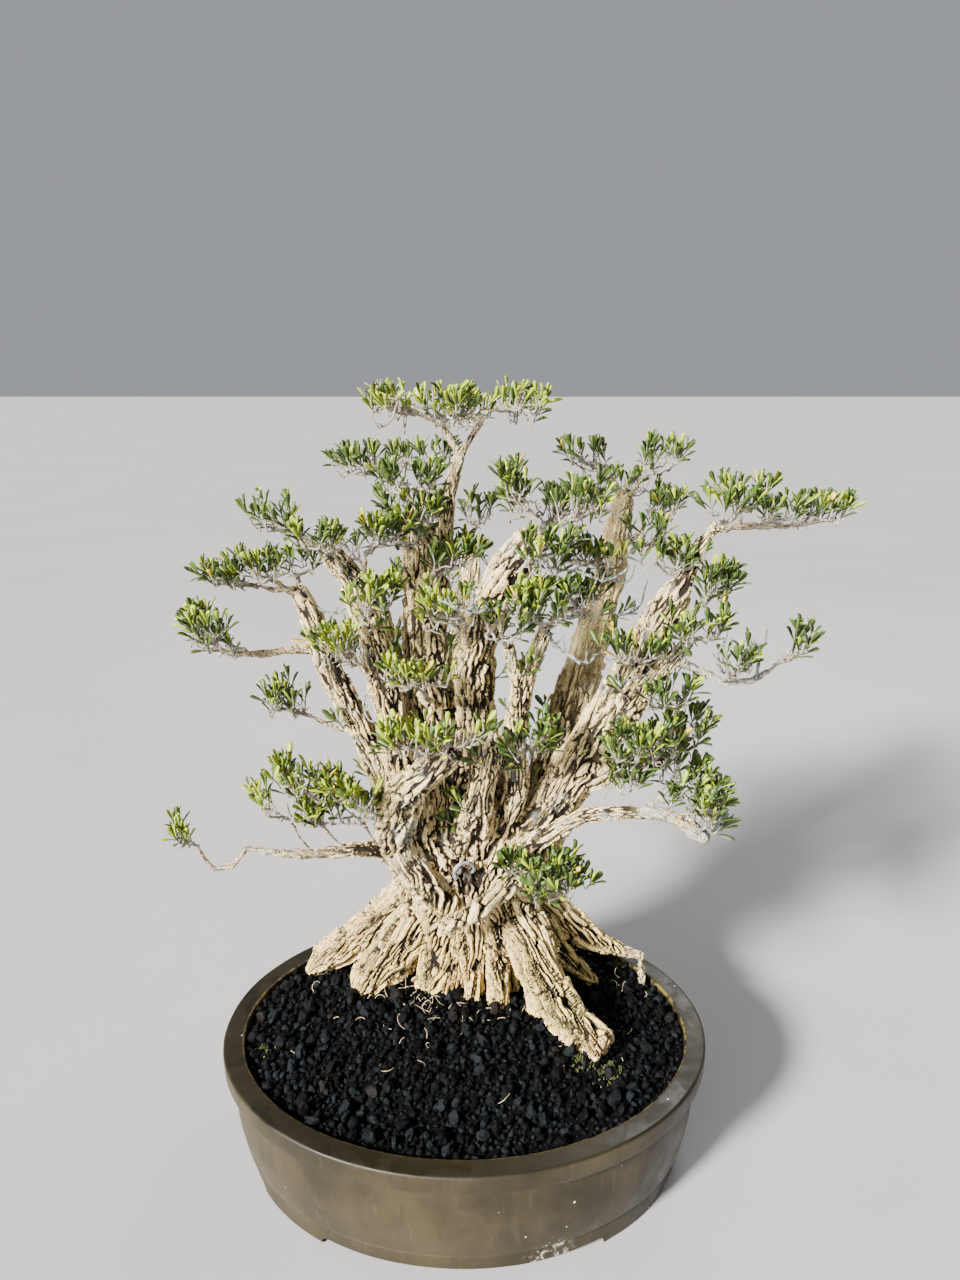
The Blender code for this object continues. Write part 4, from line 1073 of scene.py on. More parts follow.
LICHEN_FLANK = (-0.072, -0.030, 0.312)
LICHEN_CUT_END = (-0.030, -0.075, 0.396)
REAR_LIMBS = (0.060, 0.095)
REAR_LIGHT_HEIGHTS = (0.36, 0.44)
COARSE_FIBRE = 0.0016
FINE_FIBRE = 0.0007
# Each stain and each patch of painted shade: its middle, reach, strength and colour. The tan on the left root
# and the dark brown in the hollow are painted shade; the torn wood and the algae are real stains.
STAINS_AND_SHADES = (
    (LEFT_ROOT, LEFT_ROOT_REACH, 0.60, BARK_TAN),
    (SHELTERED_HEART, 0.066, 0.60, BARK_RED),
    (ROOT_END, 0.018, 0.65, TORN_WOOD),
    (ROOT_MIDDLE, 0.030, 0.45, ALGAE_GREEN),
    (HOLLOW_PLACE, 0.024, 0.90, HOLLOW_PAINTED_SHADE),
)
# Each lichen crust's middle and reach
CRUSTS = (
    (LICHEN_KNOB, 0.025),
    (LICHEN_BRANCH, 0.060),
    (LICHEN_FLANK, 0.022),
    (LICHEN_CUT_END, 0.022),
)


def drawn_out_noise():
    """A group that draws fine noise out along the wood, for fibres and hair cracks."""
    group = bpy.data.node_groups.new("Drawn out noise", "ShaderNodeTree")
    for name, kind in {"Place": "Vector", "Flow": "Vector", "Width": "Float"}.items():
        group.interface.new_socket(name, in_out="INPUT", socket_type="NodeSocket" + kind)
    group.interface.new_socket("Height", in_out="OUTPUT", socket_type="NodeSocketFloat")
    inputs = add_node(group, "NodeGroupInput").outputs
    outputs = add_node(group, "NodeGroupOutput").inputs
    scale = calculate(group, "DIVIDE", 1.0, inputs["Width"])
    total = 0.0
    for tap in range(-2, 3):
        step = times(group, inputs["Width"], 1.1 * tap)
        along = {0: inputs["Flow"], "Scale": step}
        shift = add_node(group, "ShaderNodeVectorMath", along, operation="SCALE").outputs[0]
        both = {0: inputs["Place"], 1: shift}
        moved = add_node(group, "ShaderNodeVectorMath", both, operation="ADD").outputs[0]
        noise = add_node(group, "ShaderNodeTexNoise", {"Vector": moved, "Scale": scale, "Detail": 1.0})
        total = calculate(group, "ADD", total, noise.outputs["Fac"])
    spread = times(group, calculate(group, "SUBTRACT", total, 2.5), 0.55)
    group.links.new(calculate(group, "ADD", spread, 0.5), outputs["Height"])
    return group


def corky_bark():
    """Corky bark, coloured by height, by place and by what its mesh holds of its plates and their growth."""
    drawn_out = drawn_out_noise()
    material, tree, shader, place = new_material("Corky bark")
    plate_share = mesh_value(tree, "plate")
    plate_tone = mesh_value(tree, "tone")
    heft_share = mesh_value(tree, "heft")
    fibre = {"Place": place, "Flow": mesh_value(tree, "flow", "Vector")}
    coarse_fibre, fine_fibre = [
        add_node(tree, "ShaderNodeGroup", {**fibre, "Width": width}, node_tree=drawn_out).outputs["Height"]
        for width in (COARSE_FIBRE, FINE_FIBRE)
    ]
    height = coordinate(tree, place, "Z")
    # Cream and tan patches, yellower at the foot, with stains and painted shade at their own places
    patches = band(tree, cloudy(tree, place, 0.035, 3.0), 0.38, 0.62)
    # Fewer tan patches higher up: painted light on the upper limbs
    patch_share = times(tree, patches, band(tree, height, *SMOOTHER_AND_PAINTED_LIGHTER_ABOVE, 0.55, 0.3))
    colour = mix_colours(tree, patch_share, BARK_CREAM, BARK_TAN)
    foot = band(tree, height, 0.16, 0.25, 0.75, 0.0)
    colour = mix_colours(tree, foot, colour, BARK_YELLOW)
    for stain_and_shade_place, stain_and_shade_reach, stain_and_shade_strength, stain_and_shade_colour in STAINS_AND_SHADES:
        stain_and_shade_share = times(tree, ball_mask(tree, place, stain_and_shade_place, stain_and_shade_reach), stain_and_shade_strength)
        colour = mix_colours(tree, stain_and_shade_share, colour, stain_and_shade_colour)
    # Greyer thin wood, and tones that differ from plate to plate and fibre to fibre
    grey_share = band(tree, heft_share, 0.05, 0.60, 0.75, 0.0)
    colour = mix_colours(tree, grey_share, colour, BRANCH_TAN)
    tone_share = band(tree, plate_tone, 0.0, 1.0, 0.80, 1.16)
    colour = mix_colours(tree, 1.0, colour, tone_share, "MULTIPLY")
    # Fainter dark fibre streaks higher up: painted light on the upper limbs
    fibre_low = band(tree, height, *SMOOTHER_AND_PAINTED_LIGHTER_ABOVE, 0.58, 0.68)
    fibre_tone = band(tree, coarse_fibre, 0.32, 0.60, fibre_low, 1.08)
    colour = mix_colours(tree, 1.0, colour, fibre_tone, "MULTIPLY")
    # Dark cracks and fissures, weaker on the limbs at the back: painted light on limbs that lie in the
    # leaves' shade
    crack_reach = band(tree, height, 0.25, 0.36, 0.39, 0.43)
    # More dark strands on the left root: painted shade
    left_root_shade_strands = times(tree, ball_mask(tree, place, LEFT_ROOT, LEFT_ROOT_REACH), 0.07)
    crack_reach = calculate(tree, "ADD", crack_reach, left_root_shade_strands)
    crack = band(tree, coarse_fibre, 0.32, crack_reach, 0.95, 0.0)
    open_crack = band(tree, cloudy(tree, place, 0.010, 2.0), 0.34, 0.50, 0.88, 1.0)
    fissure = times(tree, band(tree, plate_share, 0.18, 0.70, 1.0, 0.0), open_crack)
    fissure = times(tree, fissure, band(tree, heft_share, 0.05, 0.60, 0.35, 1.0))
    at_back = band(tree, coordinate(tree, place, "Y"), *REAR_LIMBS)
    rear_painted_light = times(tree, at_back, band(tree, height, *REAR_LIGHT_HEIGHTS, 0.0, 0.6))
    dark = calculate(tree, "MAXIMUM", fissure, crack)
    dark = times(tree, dark, calculate(tree, "SUBTRACT", 1.0, rear_painted_light))
    colour = mix_colours(tree, dark, colour, FISSURE_COLOUR)
    # Grey lichen, thin on the upper wood and in thick crusts at a few places
    lichen_place = band(tree, cloudy(tree, place, 0.022, 4.0, 0.6), 0.56, 0.64)
    lichen_share = times(tree, lichen_place, band(tree, heft_share, 0.3, 1.0, 0.6, 0.2))
    lichen_share = times(tree, lichen_share, band(tree, height, 0.20, 0.30))
    crust_cover = band(tree, cloudy(tree, place, 0.0034, 4.0, 0.65), 0.42, 0.56, 0.05, 0.85)
    for crust_place, crust_reach in CRUSTS:
        crust = times(tree, ball_mask(tree, place, crust_place, crust_reach), crust_cover)
        lichen_share = calculate(tree, "MAXIMUM", lichen_share, crust)
    colour = mix_colours(tree, lichen_share, colour, LICHEN_GREY)
    coat(tree, shader, colour, 0.82, 0.25)
    fine_relief = calculate(tree, "ADD", coarse_fibre, times(tree, fine_fibre, 0.35))
    crust_lumps = times(tree, lichen_share, cloudy(tree, place, 0.0018, 4.0, 0.7))
    fine_relief = calculate(tree, "ADD", fine_relief, crust_lumps)
    plate_relief = times(tree, plate_share, 0.6)
    relief(tree, shader, calculate(tree, "ADD", fine_relief, plate_relief), 0.0022, 1.0)
    return material


bark = corky_bark()
for wood in wood_pieces.values():
    wood.data.materials.clear()
    wood.data.materials.append(bark)
    finish_piece(wood, ["tree"])

# Twigs
# Grey living and dead twigs that fan out level from the end of each branchlet. Every one ends in short
# upright shoots, as clipping leaves them. They grow by rule towards goals spread over each leafy pad.
TWIG_STEP = 0.0032
TWIG_MOST_STEPS = 70
TWIG_STIFFNESS = 0.45
TWIG_JITTER = 0.30
GOAL_REACH = 0.0040
FAN_DEGREES = 58
FAN_MARGIN = 0.012
GOALS_PER_SPRAY = 36
SPARSE_PADS = ("right_mid", "low_left_outer", "low_left_tip", "cut_limb")
SPARSE_PAD_GOALS = 22
FULL_PADS = (
    "crown",
    "inner",
    "cross",
    "front_left",
    "fork",
    "right_under",
    "right_low",
    "low_left_high",
    "far_left_end",
)
FULL_PAD_GOALS = 44
FULL_PAD_DEPTH = 0.007
PAD_DEPTH = 0.0025
EXTRA_PAD_TOP = 0.020
START_POINTS = 12
# Small sprays between those of the CAD model: where each starts, its leaves' middle and its reach
EXTRA_SPRAYS = {
    "front_low_left": ((0.032, -0.018, 0.266), (0.028, -0.052, 0.284), 0.050),
    "front_low_mid": ((0.039, -0.030, 0.270), (0.042, -0.054, 0.290), 0.044),
    "front_low_right": ((0.043, -0.031, 0.267), (0.058, -0.062, 0.282), 0.046),
    "cut_limb_end": ((-0.034, -0.048, 0.398), (-0.066, -0.062, 0.412), 0.050),
    "leader_foot": ((-0.057, 0.006, 0.530), (-0.030, -0.006, 0.552), 0.050),
    "stub_left": ((0.009, -0.039, 0.485), (0.000, -0.064, 0.506), 0.036),
    "stub_right": ((0.040, -0.031, 0.494), (0.034, -0.066, 0.516), 0.042),
    "limb_fork_end": ((0.153, -0.048, 0.488), (0.162, -0.080, 0.508), 0.044),
    "low_nose": ((0.110, -0.015, 0.368), (0.142, -0.048, 0.388), 0.058),
    "low_nose_under": ((0.106, -0.021, 0.356), (0.128, -0.052, 0.366), 0.046),
    "low_left_high": ((-0.148, -0.034, 0.320), (-0.163, -0.050, 0.374), 0.050),
    "low_left_root": ((-0.101, -0.039, 0.331), (-0.126, -0.056, 0.362), 0.052),
    "central_top": ((-0.073, 0.002, 0.558), (-0.082, -0.022, 0.574), 0.046),
    "leader_shoulder": ((-0.058, 0.001, 0.569), (-0.074, -0.028, 0.592), 0.050),
    "right_flank_low": ((0.126, -0.036, 0.430), (0.150, -0.062, 0.446), 0.048),
    "right_flank_high": ((0.113, -0.029, 0.467), (0.120, -0.070, 0.484), 0.050),
    "far_left_end": ((-0.219, 0.021, 0.461), (-0.243, 0.012, 0.487), 0.054),
    "right_back_low": ((0.133, 0.122, 0.529), (0.148, 0.098, 0.552), 0.048),
    "right_shoulder": ((0.147, -0.016, 0.536), (0.140, -0.045, 0.558), 0.044),
}
SPROUT_COUNT = 70
SPROUT_HEIGHTS = (0.250, 0.560)
SPROUT_LENGTHS = (0.010, 0.026)
TIP_RADIUS = 0.00072
THICKEST_TWIG = 0.0030
STUB_SHARE = 0.38
STUB_LENGTHS = (0.003, 0.009)
PIPE_POWER = 2.1
SHOOT_STEP = 0.0042
SHOOT_LENGTHS = (0.009, 0.028)
BARE_SHARE = 0.18
SIDE_SHOOT_SHARE = 0.10
TWIG_SIDES = 5
TUFT_HEIGHT = 0.017
TWIG_GREY = (0.300, 0.270, 0.215, 1.0)
TWIG_BROWN = (0.210, 0.165, 0.115, 1.0)
KNOT_BROWN = (0.070, 0.055, 0.042, 1.0)

sprays = sorted(name for name in frame["nodes"] if name.startswith("spray_"))


def unit(vector):
    return vector / (np.linalg.norm(vector) + 1e-9)


def random_vector(draw, spread=1):
    return np.array([draw.gauss(0, spread) for _ in range(3)])


def spray_plan(node):
    """Where a spray's own twig begins, where its leaves' middle lies, how far it reaches and its top."""
    points = mesh_points(frame["nodes"][node].data)
    gaps = np.array([tree_surface.find_nearest(Vector(point))[3] for point in points])
    start = points[np.argsort(gaps)[:START_POINTS]].mean(axis=0)
    middle = (points.min(axis=0) + points.max(axis=0)) / 2
    level = points - start
    level[:, 2] = 0.0
    reach = np.linalg.norm(level, axis=1).max()
    return start, middle, reach, points[:, 2].max()


def fan_goals(start, middle, reach, goal_count, unevenness, draw):
    """Goals over the level fan of a pad, from near its start to its outer edge."""
    outward = middle - start
    outward[2] = 0.0
    heading = math.atan2(outward[1], outward[0])
    goals = []
    for _ in range(goal_count):
        distance = (reach - FAN_MARGIN) * math.sqrt(draw.uniform(0.04, 1.0))
        turn = heading + math.radians(FAN_DEGREES) * draw.uniform(-1, 1) * (1.25 - 0.5 * distance / reach)
        rise = (middle[2] - 0.006 - start[2]) * min(1.0, distance / (0.6 * reach))
        rise += draw.gauss(0, unevenness)
        goals.append(start + np.array((distance * math.cos(turn), distance * math.sin(turn), rise)))
    return np.array(goals)


def colonise(start, heading, goals, draw):
    """Grows twig nodes step by step from a start towards every goal. Gives their places and parents."""
    places = [start]
    parents = [-1]
    headings = [heading]
    for _ in range(TWIG_MOST_STEPS):
        if len(goals) == 0:
            break
        apart = goals[:, None, :] - np.array(places)[None, :, :]
        distance = np.linalg.norm(apart, axis=2)
        nearest = distance.argmin(axis=1)
        close = distance.min(axis=1) < GOAL_REACH
        pulls = {}
        for goal in np.flatnonzero(~close):
            node = nearest[goal]
            pulls.setdefault(node, []).append(apart[goal, node] / distance[goal, node])
        goals = goals[~close]
        for node, pull in pulls.items():
            jitter = random_vector(draw, TWIG_JITTER)
            step = unit(unit(np.sum(pull, axis=0)) + TWIG_STIFFNESS * headings[node] + jitter)
            places.append(places[node] + TWIG_STEP * step)
            parents.append(node)
            headings.append(step)
    return places, parents


class Skeleton:
    """All the twigs as joined points with a radius and a shade each."""

    def __init__(self):
        self.places = []
        self.edges = []
        self.radii = []
        self.shades = []

    def add_point(self, place, radius, shade, parent=None):
        self.places.append(place)
        self.radii.append(radius)
        self.shades.append(shade)
        if parent is not None:
            self.edges.append((parent, len(self.places) - 1))
        return len(self.places) - 1

    def as_mesh(self, name):
        mesh = bpy.data.meshes.new(name)
        mesh.from_pydata([tuple(place) for place in self.places], self.edges, [])
        add_attribute(mesh, "thick", np.array(self.radii))
        add_attribute(mesh, "tone", np.array(self.shades))
        return mesh


def inside_box(place, room):
    low, high = cad_box
    return all(low[axis] + room < place[axis] < high[axis] - room for axis in range(3))


def grow_shoot(skeleton, base, base_index, lean, length, draw):
    """An upright shoot of a few short steps. Gives the place and direction of each of its nodes."""
    steps = max(2, round(length / SHOOT_STEP))
    heading = unit(lean)
    place = base
    parent = base_index
    nodes = []
    shade = draw.uniform(0.0, 1.0)
    for number in range(steps):
        heading = unit(heading + np.array((draw.gauss(0, 0.14), draw.gauss(0, 0.14), 0.16)))
        place = place + length / steps * heading
        radius = TIP_RADIUS * (1.15 - 0.5 * (number + 1) / steps)
        parent = skeleton.add_point(place, radius, shade, parent)
        nodes.append((place, heading))
    return nodes


def grow_spray(skeleton, spray, plan, draw):
    """Grows a spray's twigs with short bare stubs on them. Gives the upright shoots that carry leaves."""
    start, middle, reach, top = plan
    pad = spray.removeprefix("spray_")
    full = pad.startswith(FULL_PADS)
    sparse = pad.startswith(SPARSE_PADS)
    goal_count = FULL_PAD_GOALS if full else SPARSE_PAD_GOALS if sparse else GOALS_PER_SPRAY
    goals = fan_goals(start, middle, reach, goal_count, FULL_PAD_DEPTH if full else PAD_DEPTH, draw)
    places, parents = colonise(start, unit(middle - start), goals, draw)
    children = [[] for _ in places]
    for index, parent in enumerate(parents[1:], start=1):
        children[parent].append(index)
    # Each twig is as thick as all that it carries need together
    radii = [TIP_RADIUS] * len(places)
    for index in range(len(places) - 1, -1, -1):
        if children[index]:
            radii[index] = sum(radii[child] ** PIPE_POWER for child in children[index]) ** (1 / PIPE_POWER)
    # The twigs, with stubs where side twigs have died back
    spray_shade = draw.uniform(0.0, 1.0)
    numbers = []
    for index, place in enumerate(places):
        radius = min(radii[index], THICKEST_TWIG) * draw.uniform(0.80, 1.25)
        parent = numbers[parents[index]] if index else None
        shade = 0.6 * spray_shade + 0.4 * draw.random()
        numbers.append(skeleton.add_point(place, radius, shade, parent))
        if index and draw.random() < STUB_SHARE:
            lean = np.array([draw.gauss(0, 1), draw.gauss(0, 1), draw.gauss(0.3, 0.8)])
            grow_shoot(skeleton, place, numbers[index], lean, draw.uniform(*STUB_LENGTHS), draw)
    # Upright shoots at every tip and here and there behind it
    leafy_shoots = []
    for index, place in enumerate(places):
        tip = not children[index]
        if not tip and draw.random() > SIDE_SHOOT_SHARE:
            continue
        away = unit(place - start)
        away[2] = 0.0
        lean = UP + 0.55 * away + 0.25 * random_vector(draw)
        room = min(top + 0.004, cad_box[1].z) - place[2] - 0.8 * TUFT_HEIGHT
        length = min(draw.uniform(*SHOOT_LENGTHS), max(0.005, room))
        nodes = grow_shoot(skeleton, place, numbers[index], lean, length, draw)
        if draw.random() > BARE_SHARE * (1.8 if sparse else 1.0):
            leafy_shoots.append((spray, nodes, draw.random()))
    return leafy_shoots


twig_skeleton = Skeleton()
leafy_shoots = []
spray_plans = {spray: spray_plan(spray) for spray in sprays}
for extra, (start, middle, reach) in EXTRA_SPRAYS.items():
    spray_plans["spray_" + extra] = (np.array(start), np.array(middle), reach, middle[2] + EXTRA_PAD_TOP)
for spray_number, (spray, plan) in enumerate(spray_plans.items()):
    leafy_shoots += grow_spray(twig_skeleton, spray, plan, random.Random(200 + spray_number))

# Sprouts straight out of the old wood
draw = random.Random(77)
wood_points = np.concatenate([mesh_points(wood.data) for wood in wood_pieces.values()])
wood_normals = np.concatenate([mesh_points(wood.data, "normal") for wood in wood_pieces.values()])
sprouted = 0
while sprouted < SPROUT_COUNT:
    index = draw.randrange(len(wood_points))
    place, normal = wood_points[index], wood_normals[index]
    in_height = SPROUT_HEIGHTS[0] < place[2] < SPROUT_HEIGHTS[1]
    in_hollow = np.linalg.norm(place - FRONT_HOLLOW) < 1.8 * HOLLOW_REACH
    if not in_height or in_hollow or normal[2] < -0.2 or draw.random() > 0.25 + 0.75 * (normal[1] < 0):
        continue
    sprouted += 1
    root = twig_skeleton.add_point(place - 0.002 * normal, 1.6 * TIP_RADIUS, 0.5)
    lean = 1.3 * normal + 0.9 * UP
    nodes = grow_shoot(twig_skeleton, place, root, lean, draw.uniform(*SPROUT_LENGTHS), draw)
    leafy_shoots.append(("spray_sprout", nodes, draw.random()))


def twig_tubes():
    """Turns joined points with a thick attribute into closed tubes."""
    group, inputs, outputs = node_tree_with("Twig tubes", Sides="Int")
    curves = add_node(group, "GeometryNodeMeshToCurve", {"Mesh": inputs["Geometry"]})
    thick = add_node(group, "GeometryNodeInputNamedAttribute", {"Name": "thick"}, data_type="FLOAT")
    sized = add_node(
        group, "GeometryNodeSetCurveRadius", {"Curve": curves.outputs[0], "Radius": thick.outputs[0]}
    )
    ring = add_node(group, "GeometryNodeCurvePrimitiveCircle", {"Resolution": inputs["Sides"], "Radius": 1.0})
    radius = add_node(group, "GeometryNodeInputRadius")
    tubes = add_node(
        group,
        "GeometryNodeCurveToMesh",
        {
            "Curve": sized.outputs[0],
            "Profile Curve": ring.outputs[0],
            "Scale": radius.outputs[0],
            "Fill Caps": True,
        },
    )
    return put_out(group, inputs, outputs, tubes.outputs[0])


def twig_material():
    """Grey-white twig bark with lichen crust and darker living stretches."""
    material, tree, shader, place = new_material("Twig bark")
    colour = mix_colours(tree, band(tree, mesh_value(tree, "tone"), 0.1, 0.9), TWIG_GREY, TWIG_BROWN)
    crust = band(tree, cloudy(tree, place, 0.005, 3.0), 0.50, 0.62)
    colour = mix_colours(tree, times(tree, crust, 0.65), colour, LICHEN_GREY)
    knots = band(tree, cloudy(tree, place, 0.0016, 3.0), 0.36, 0.50, 0.85, 0.0)
    colour = mix_colours(tree, knots, colour, KNOT_BROWN)
    coat(tree, shader, colour, 0.8)
    relief(tree, shader, cloudy(tree, place, 0.0012, 3.0), 0.0006, 0.9)
    return material


def finish_tubes(name, skeleton, sides, material, nodes, smooth=True):
    """Turns a skeleton into tubes of one material, as a finished piece."""
    thing = mesh_object(name, skeleton.as_mesh(name))
    run_nodes(thing, tube_nodes, {"Sides": sides, "Material": material})
    if smooth:
        thing.data.shade_smooth()
    finish_piece(thing, nodes)


tube_nodes = twig_tubes()
finish_tubes("twigs", twig_skeleton, TWIG_SIDES, twig_material(), sprays)

# Dead twigs
# Bare dead shoots of the same tree, furred with blue-grey lichen.
# They still stand on the limbs that they grew from, and arch out and up again with a few side stubs.
DEAD_TWIG_COUNT = 11
DEAD_TWIG_HEIGHTS = (0.410, 0.580)
DEAD_TWIG_STEP = 0.0045
DEAD_TWIG_RADIUS = 0.0012
LICHEN_TWIGS = (
    ((0.005, -0.041, 0.516), (-0.005, -0.074, 0.526), (-0.021, -0.077, 0.522), (-0.036, -0.075, 0.528),
     (-0.044, -0.066, 0.532)),
    ((-0.021, -0.077, 0.522), (-0.019, -0.078, 0.532), (-0.017, -0.077, 0.543)),
    ((0.028, -0.043, 0.554), (0.050, -0.046, 0.550), (0.068, -0.058, 0.551), (0.082, -0.062, 0.543),
     (0.098, -0.056, 0.549)),
    ((0.041, -0.030, 0.494), (0.046, -0.046, 0.492), (0.055, -0.052, 0.481), (0.072, -0.054, 0.474),
     (0.083, -0.046, 0.481)),
    ((0.168, -0.060, 0.330), (0.180, -0.068, 0.335), (0.192, -0.068, 0.348)),
    ((0.176, -0.056, 0.324), (0.188, -0.050, 0.327), (0.197, -0.054, 0.337)),
    ((0.187, -0.062, 0.465), (0.192, -0.070, 0.480), (0.198, -0.070, 0.496)),
    ((0.208, -0.059, 0.465), (0.206, -0.066, 0.484), (0.212, -0.064, 0.500)),
    ((0.182, -0.061, 0.468), (0.170, -0.078, 0.490), (0.176, -0.080, 0.502)),
)
LICHEN_TWIG_RADIUS = 0.0013
LICHENED_DARK = (0.095, 0.085, 0.068, 1.0)
LICHENED_PALE = (0.270, 0.305, 0.295, 1.0)
draw = random.Random(402)
dead_twigs = Skeleton()
# Twigs that start anywhere on the upper limbs
grown = 0
while grown < DEAD_TWIG_COUNT:
    index = draw.randrange(len(wood_points))
    place, normal = wood_points[index], wood_normals[index]
    if not DEAD_TWIG_HEIGHTS[0] < place[2] < DEAD_TWIG_HEIGHTS[1] or normal[1] > 0.3:
        continue
    grown += 1
    shade = draw.random()
    parent = dead_twigs.add_point(place - 0.002 * normal, DEAD_TWIG_RADIUS, shade)
    heading = unit(normal - 0.2 * UP)
    steps = draw.randint(6, 11)
    for step in range(steps):
        heading = unit(heading + 0.20 * random_vector(draw) + (0.55 * step / steps - 0.10) * UP)
        place = place + DEAD_TWIG_STEP * heading
        radius = DEAD_TWIG_RADIUS * (1 - 0.5 * step / steps) * draw.uniform(0.8, 1.35)
        parent = dead_twigs.add_point(place, radius, shade, parent)
        if step > 1 and draw.random() < 0.45:
            lean = np.array((draw.gauss(0, 1), draw.gauss(0, 1), 0.9))
            grow_shoot(dead_twigs, place, parent, lean, draw.uniform(0.005, 0.014), draw)
# Lichened twigs along set routes, each smoothed a little and furred with stubs
for route in LICHEN_TWIGS:
    corners = np.array(route)
    marks = np.linspace(0, len(corners) - 1, 4 * len(corners) - 3)
    course = np.array([np.interp(marks, np.arange(len(corners)), corners[:, axis]) for axis in range(3)]).T
    for _ in range(3):
        course[1:-1] = (course[:-2] + 2 * course[1:-1] + course[2:]) / 4
    parent = None
    for place in course:
        place = place + random_vector(draw, 0.0006)
        parent = dead_twigs.add_point(place, LICHEN_TWIG_RADIUS * draw.uniform(0.6, 1.35), 0.0, parent)
        if draw.random() < 0.80:
            lean = np.array((draw.gauss(0, 1), draw.gauss(0, 1), 0.6))
            grow_shoot(dead_twigs, place, parent, lean, draw.uniform(0.003, 0.012), draw)
lichened, tree, shader, place = new_material("Lichened twig")
crust = band(tree, cloudy(tree, place, 0.0030, 3.0), 0.40, 0.60)
coat(tree, shader, mix_colours(tree, crust, LICHENED_DARK, LICHENED_PALE), 0.9)
relief(tree, shader, cloudy(tree, place, 0.0011, 4.0), 0.0010)
finish_tubes("dead_twigs", dead_twigs, 6, lichened, [])

# Twig ring
# A smooth grey shoot, about 4 mm thick, that has grown round on itself.
# It is fast in the hollow at the front of the trunk.
RING_PLACE = np.array((-0.0270, -0.025, 0.2690))
RING_RADIUS = 0.0088
RING_THICKNESS = 0.0021
RING_POINTS = 20
RING_START_DEGREES = 215
RING_SWEEP_DEGREES = 255
RING_LEAN = 0.012
RING_DARK = (0.075, 0.088, 0.100, 1.0)
RING_PALE = (0.220, 0.245, 0.262, 1.0)
ring_skeleton = Skeleton()
parent = None
for number in range(RING_POINTS):
    share = number / (RING_POINTS - 1)
    turn = math.radians(RING_START_DEGREES - RING_SWEEP_DEGREES * share)
    place = RING_PLACE + RING_RADIUS * np.array((math.cos(turn), 0.0, math.sin(turn)))
    place[1] += RING_LEAN * share**2 - 0.002
    parent = ring_skeleton.add_point(place, RING_THICKNESS * (1 - 0.35 * share), 0.1, parent)
ring_bark, tree, shader, place = new_material("Smooth grey bark")
ring_tone = band(tree, cloudy(tree, place, 0.004, 3.0), 0.35, 0.65)
coat(tree, shader, mix_colours(tree, ring_tone, RING_DARK, RING_PALE), 0.6)
relief(tree, shader, cloudy(tree, place, 0.0010), 0.0003)
finish_tubes("twig_ring", ring_skeleton, 12, ring_bark, [])

# Rootlets
# Straw-coloured hair roots of the tree, each about half a millimetre thick.
# They curl out of the grit, most of them round the foot of the trunk.
ROOTLET_COUNT = 190
ROOTLET_RADIUS = 0.00027
ROOTLET_STEPS = 10
ROOTLET_STEP = 0.0025
TRUNK_FOOT = (0.078, 0.066)
STRAW_PALE = (0.620, 0.520, 0.340, 1.0)
STRAW_BROWN = (0.330, 0.230, 0.125, 1.0)


def on_soil(x, y, lift):
    """The place on the mound above or below a point, lifted a little, or None beside the mound."""
    hit = soil_surface.ray_cast(Vector((x, y, 0.3)), Vector((0.0, 0.0, -1.0)))[0]
    return None if hit is None else np.array(hit) + lift * UP


draw = random.Random(31)
soil_surface = surface_of(soil.data)
rootlets = Skeleton()
for _ in range(ROOTLET_COUNT):
    turn = draw.uniform(0, 2 * math.pi)
    near_trunk = draw.random() < 0.7
    spread = draw.uniform(0.90, 1.25) if near_trunk else draw.uniform(1.3, 2.6)
    x = TRUNK_MIDDLE[0] + TRUNK_FOOT[0] * spread * math.cos(turn)
    y = TRUNK_MIDDLE[1] + TRUNK_FOOT[1] * spread * math.sin(turn)
    place = on_soil(x, y, 0.0022)
    if place is None:
        continue
    heading = unit(np.array((draw.gauss(0, 1), draw.gauss(0, 1), 0.5)))
    curl = unit(random_vector(draw))
    parent = None
    for step in range(draw.randint(3, ROOTLET_STEPS)):
        parent = rootlets.add_point(place, ROOTLET_RADIUS * (1.2 - 0.1 * step), draw.random(), parent)
        heading = unit(heading + 0.45 * np.cross(curl, heading) - 0.10 * UP)
        place = place + ROOTLET_STEP * heading
straw, tree, shader, place = new_material("Straw roots")
coat(tree, shader, mix_colours(tree, mesh_value(tree, "tone"), STRAW_PALE, STRAW_BROWN), 0.7)
relief(tree, shader, cloudy(tree, place, 0.0006), 0.0001)
finish_tubes("rootlets", rootlets, 4, straw, [])

# Moss
# Small cushions of living yellow-green moss, 2 or 3 mm high.
# They grow on the damp grit at the root ends and here and there by the rim.
# Each cushion's x and y, its spread and its number of blades
MOSS_PLACES = (
    (0.098, -0.102, 0.012, 130),
    (0.076, -0.094, 0.008, 70),
    (-0.208, -0.070, 0.007, 50),
    (-0.010, -0.203, 0.007, 50),
    (0.128, 0.055, 0.010, 60),
    (-0.150, 0.045, 0.010, 60),
)
MOSS_HEIGHTS = (0.0014, 0.0032)
MOSS_DARK = (0.016, 0.026, 0.004, 1.0)
MOSS_PALE = (0.060, 0.064, 0.010, 1.0)
draw = random.Random(17)
moss = Skeleton()
for x, y, spread, blades in MOSS_PLACES:
    for _ in range(blades):
        foot = on_soil(x + draw.gauss(0, 0.5) * spread, y + draw.gauss(0, 0.5) * spread, 0.0016)
        if foot is None or not inside_rim(foot[None, :], 0.003)[0]:
            continue
        tip = foot + np.array((draw.gauss(0, 0.0009), draw.gauss(0, 0.0009), draw.uniform(*MOSS_HEIGHTS)))
        shade = draw.random()
        below = moss.add_point(foot, 0.0011, shade)
        moss.add_point(tip, 0.0004, shade, below)
moss_skin, tree, shader, place = new_material("Moss")
coat(tree, shader, mix_colours(tree, mesh_value(tree, "tone"), MOSS_DARK, MOSS_PALE), 0.9)
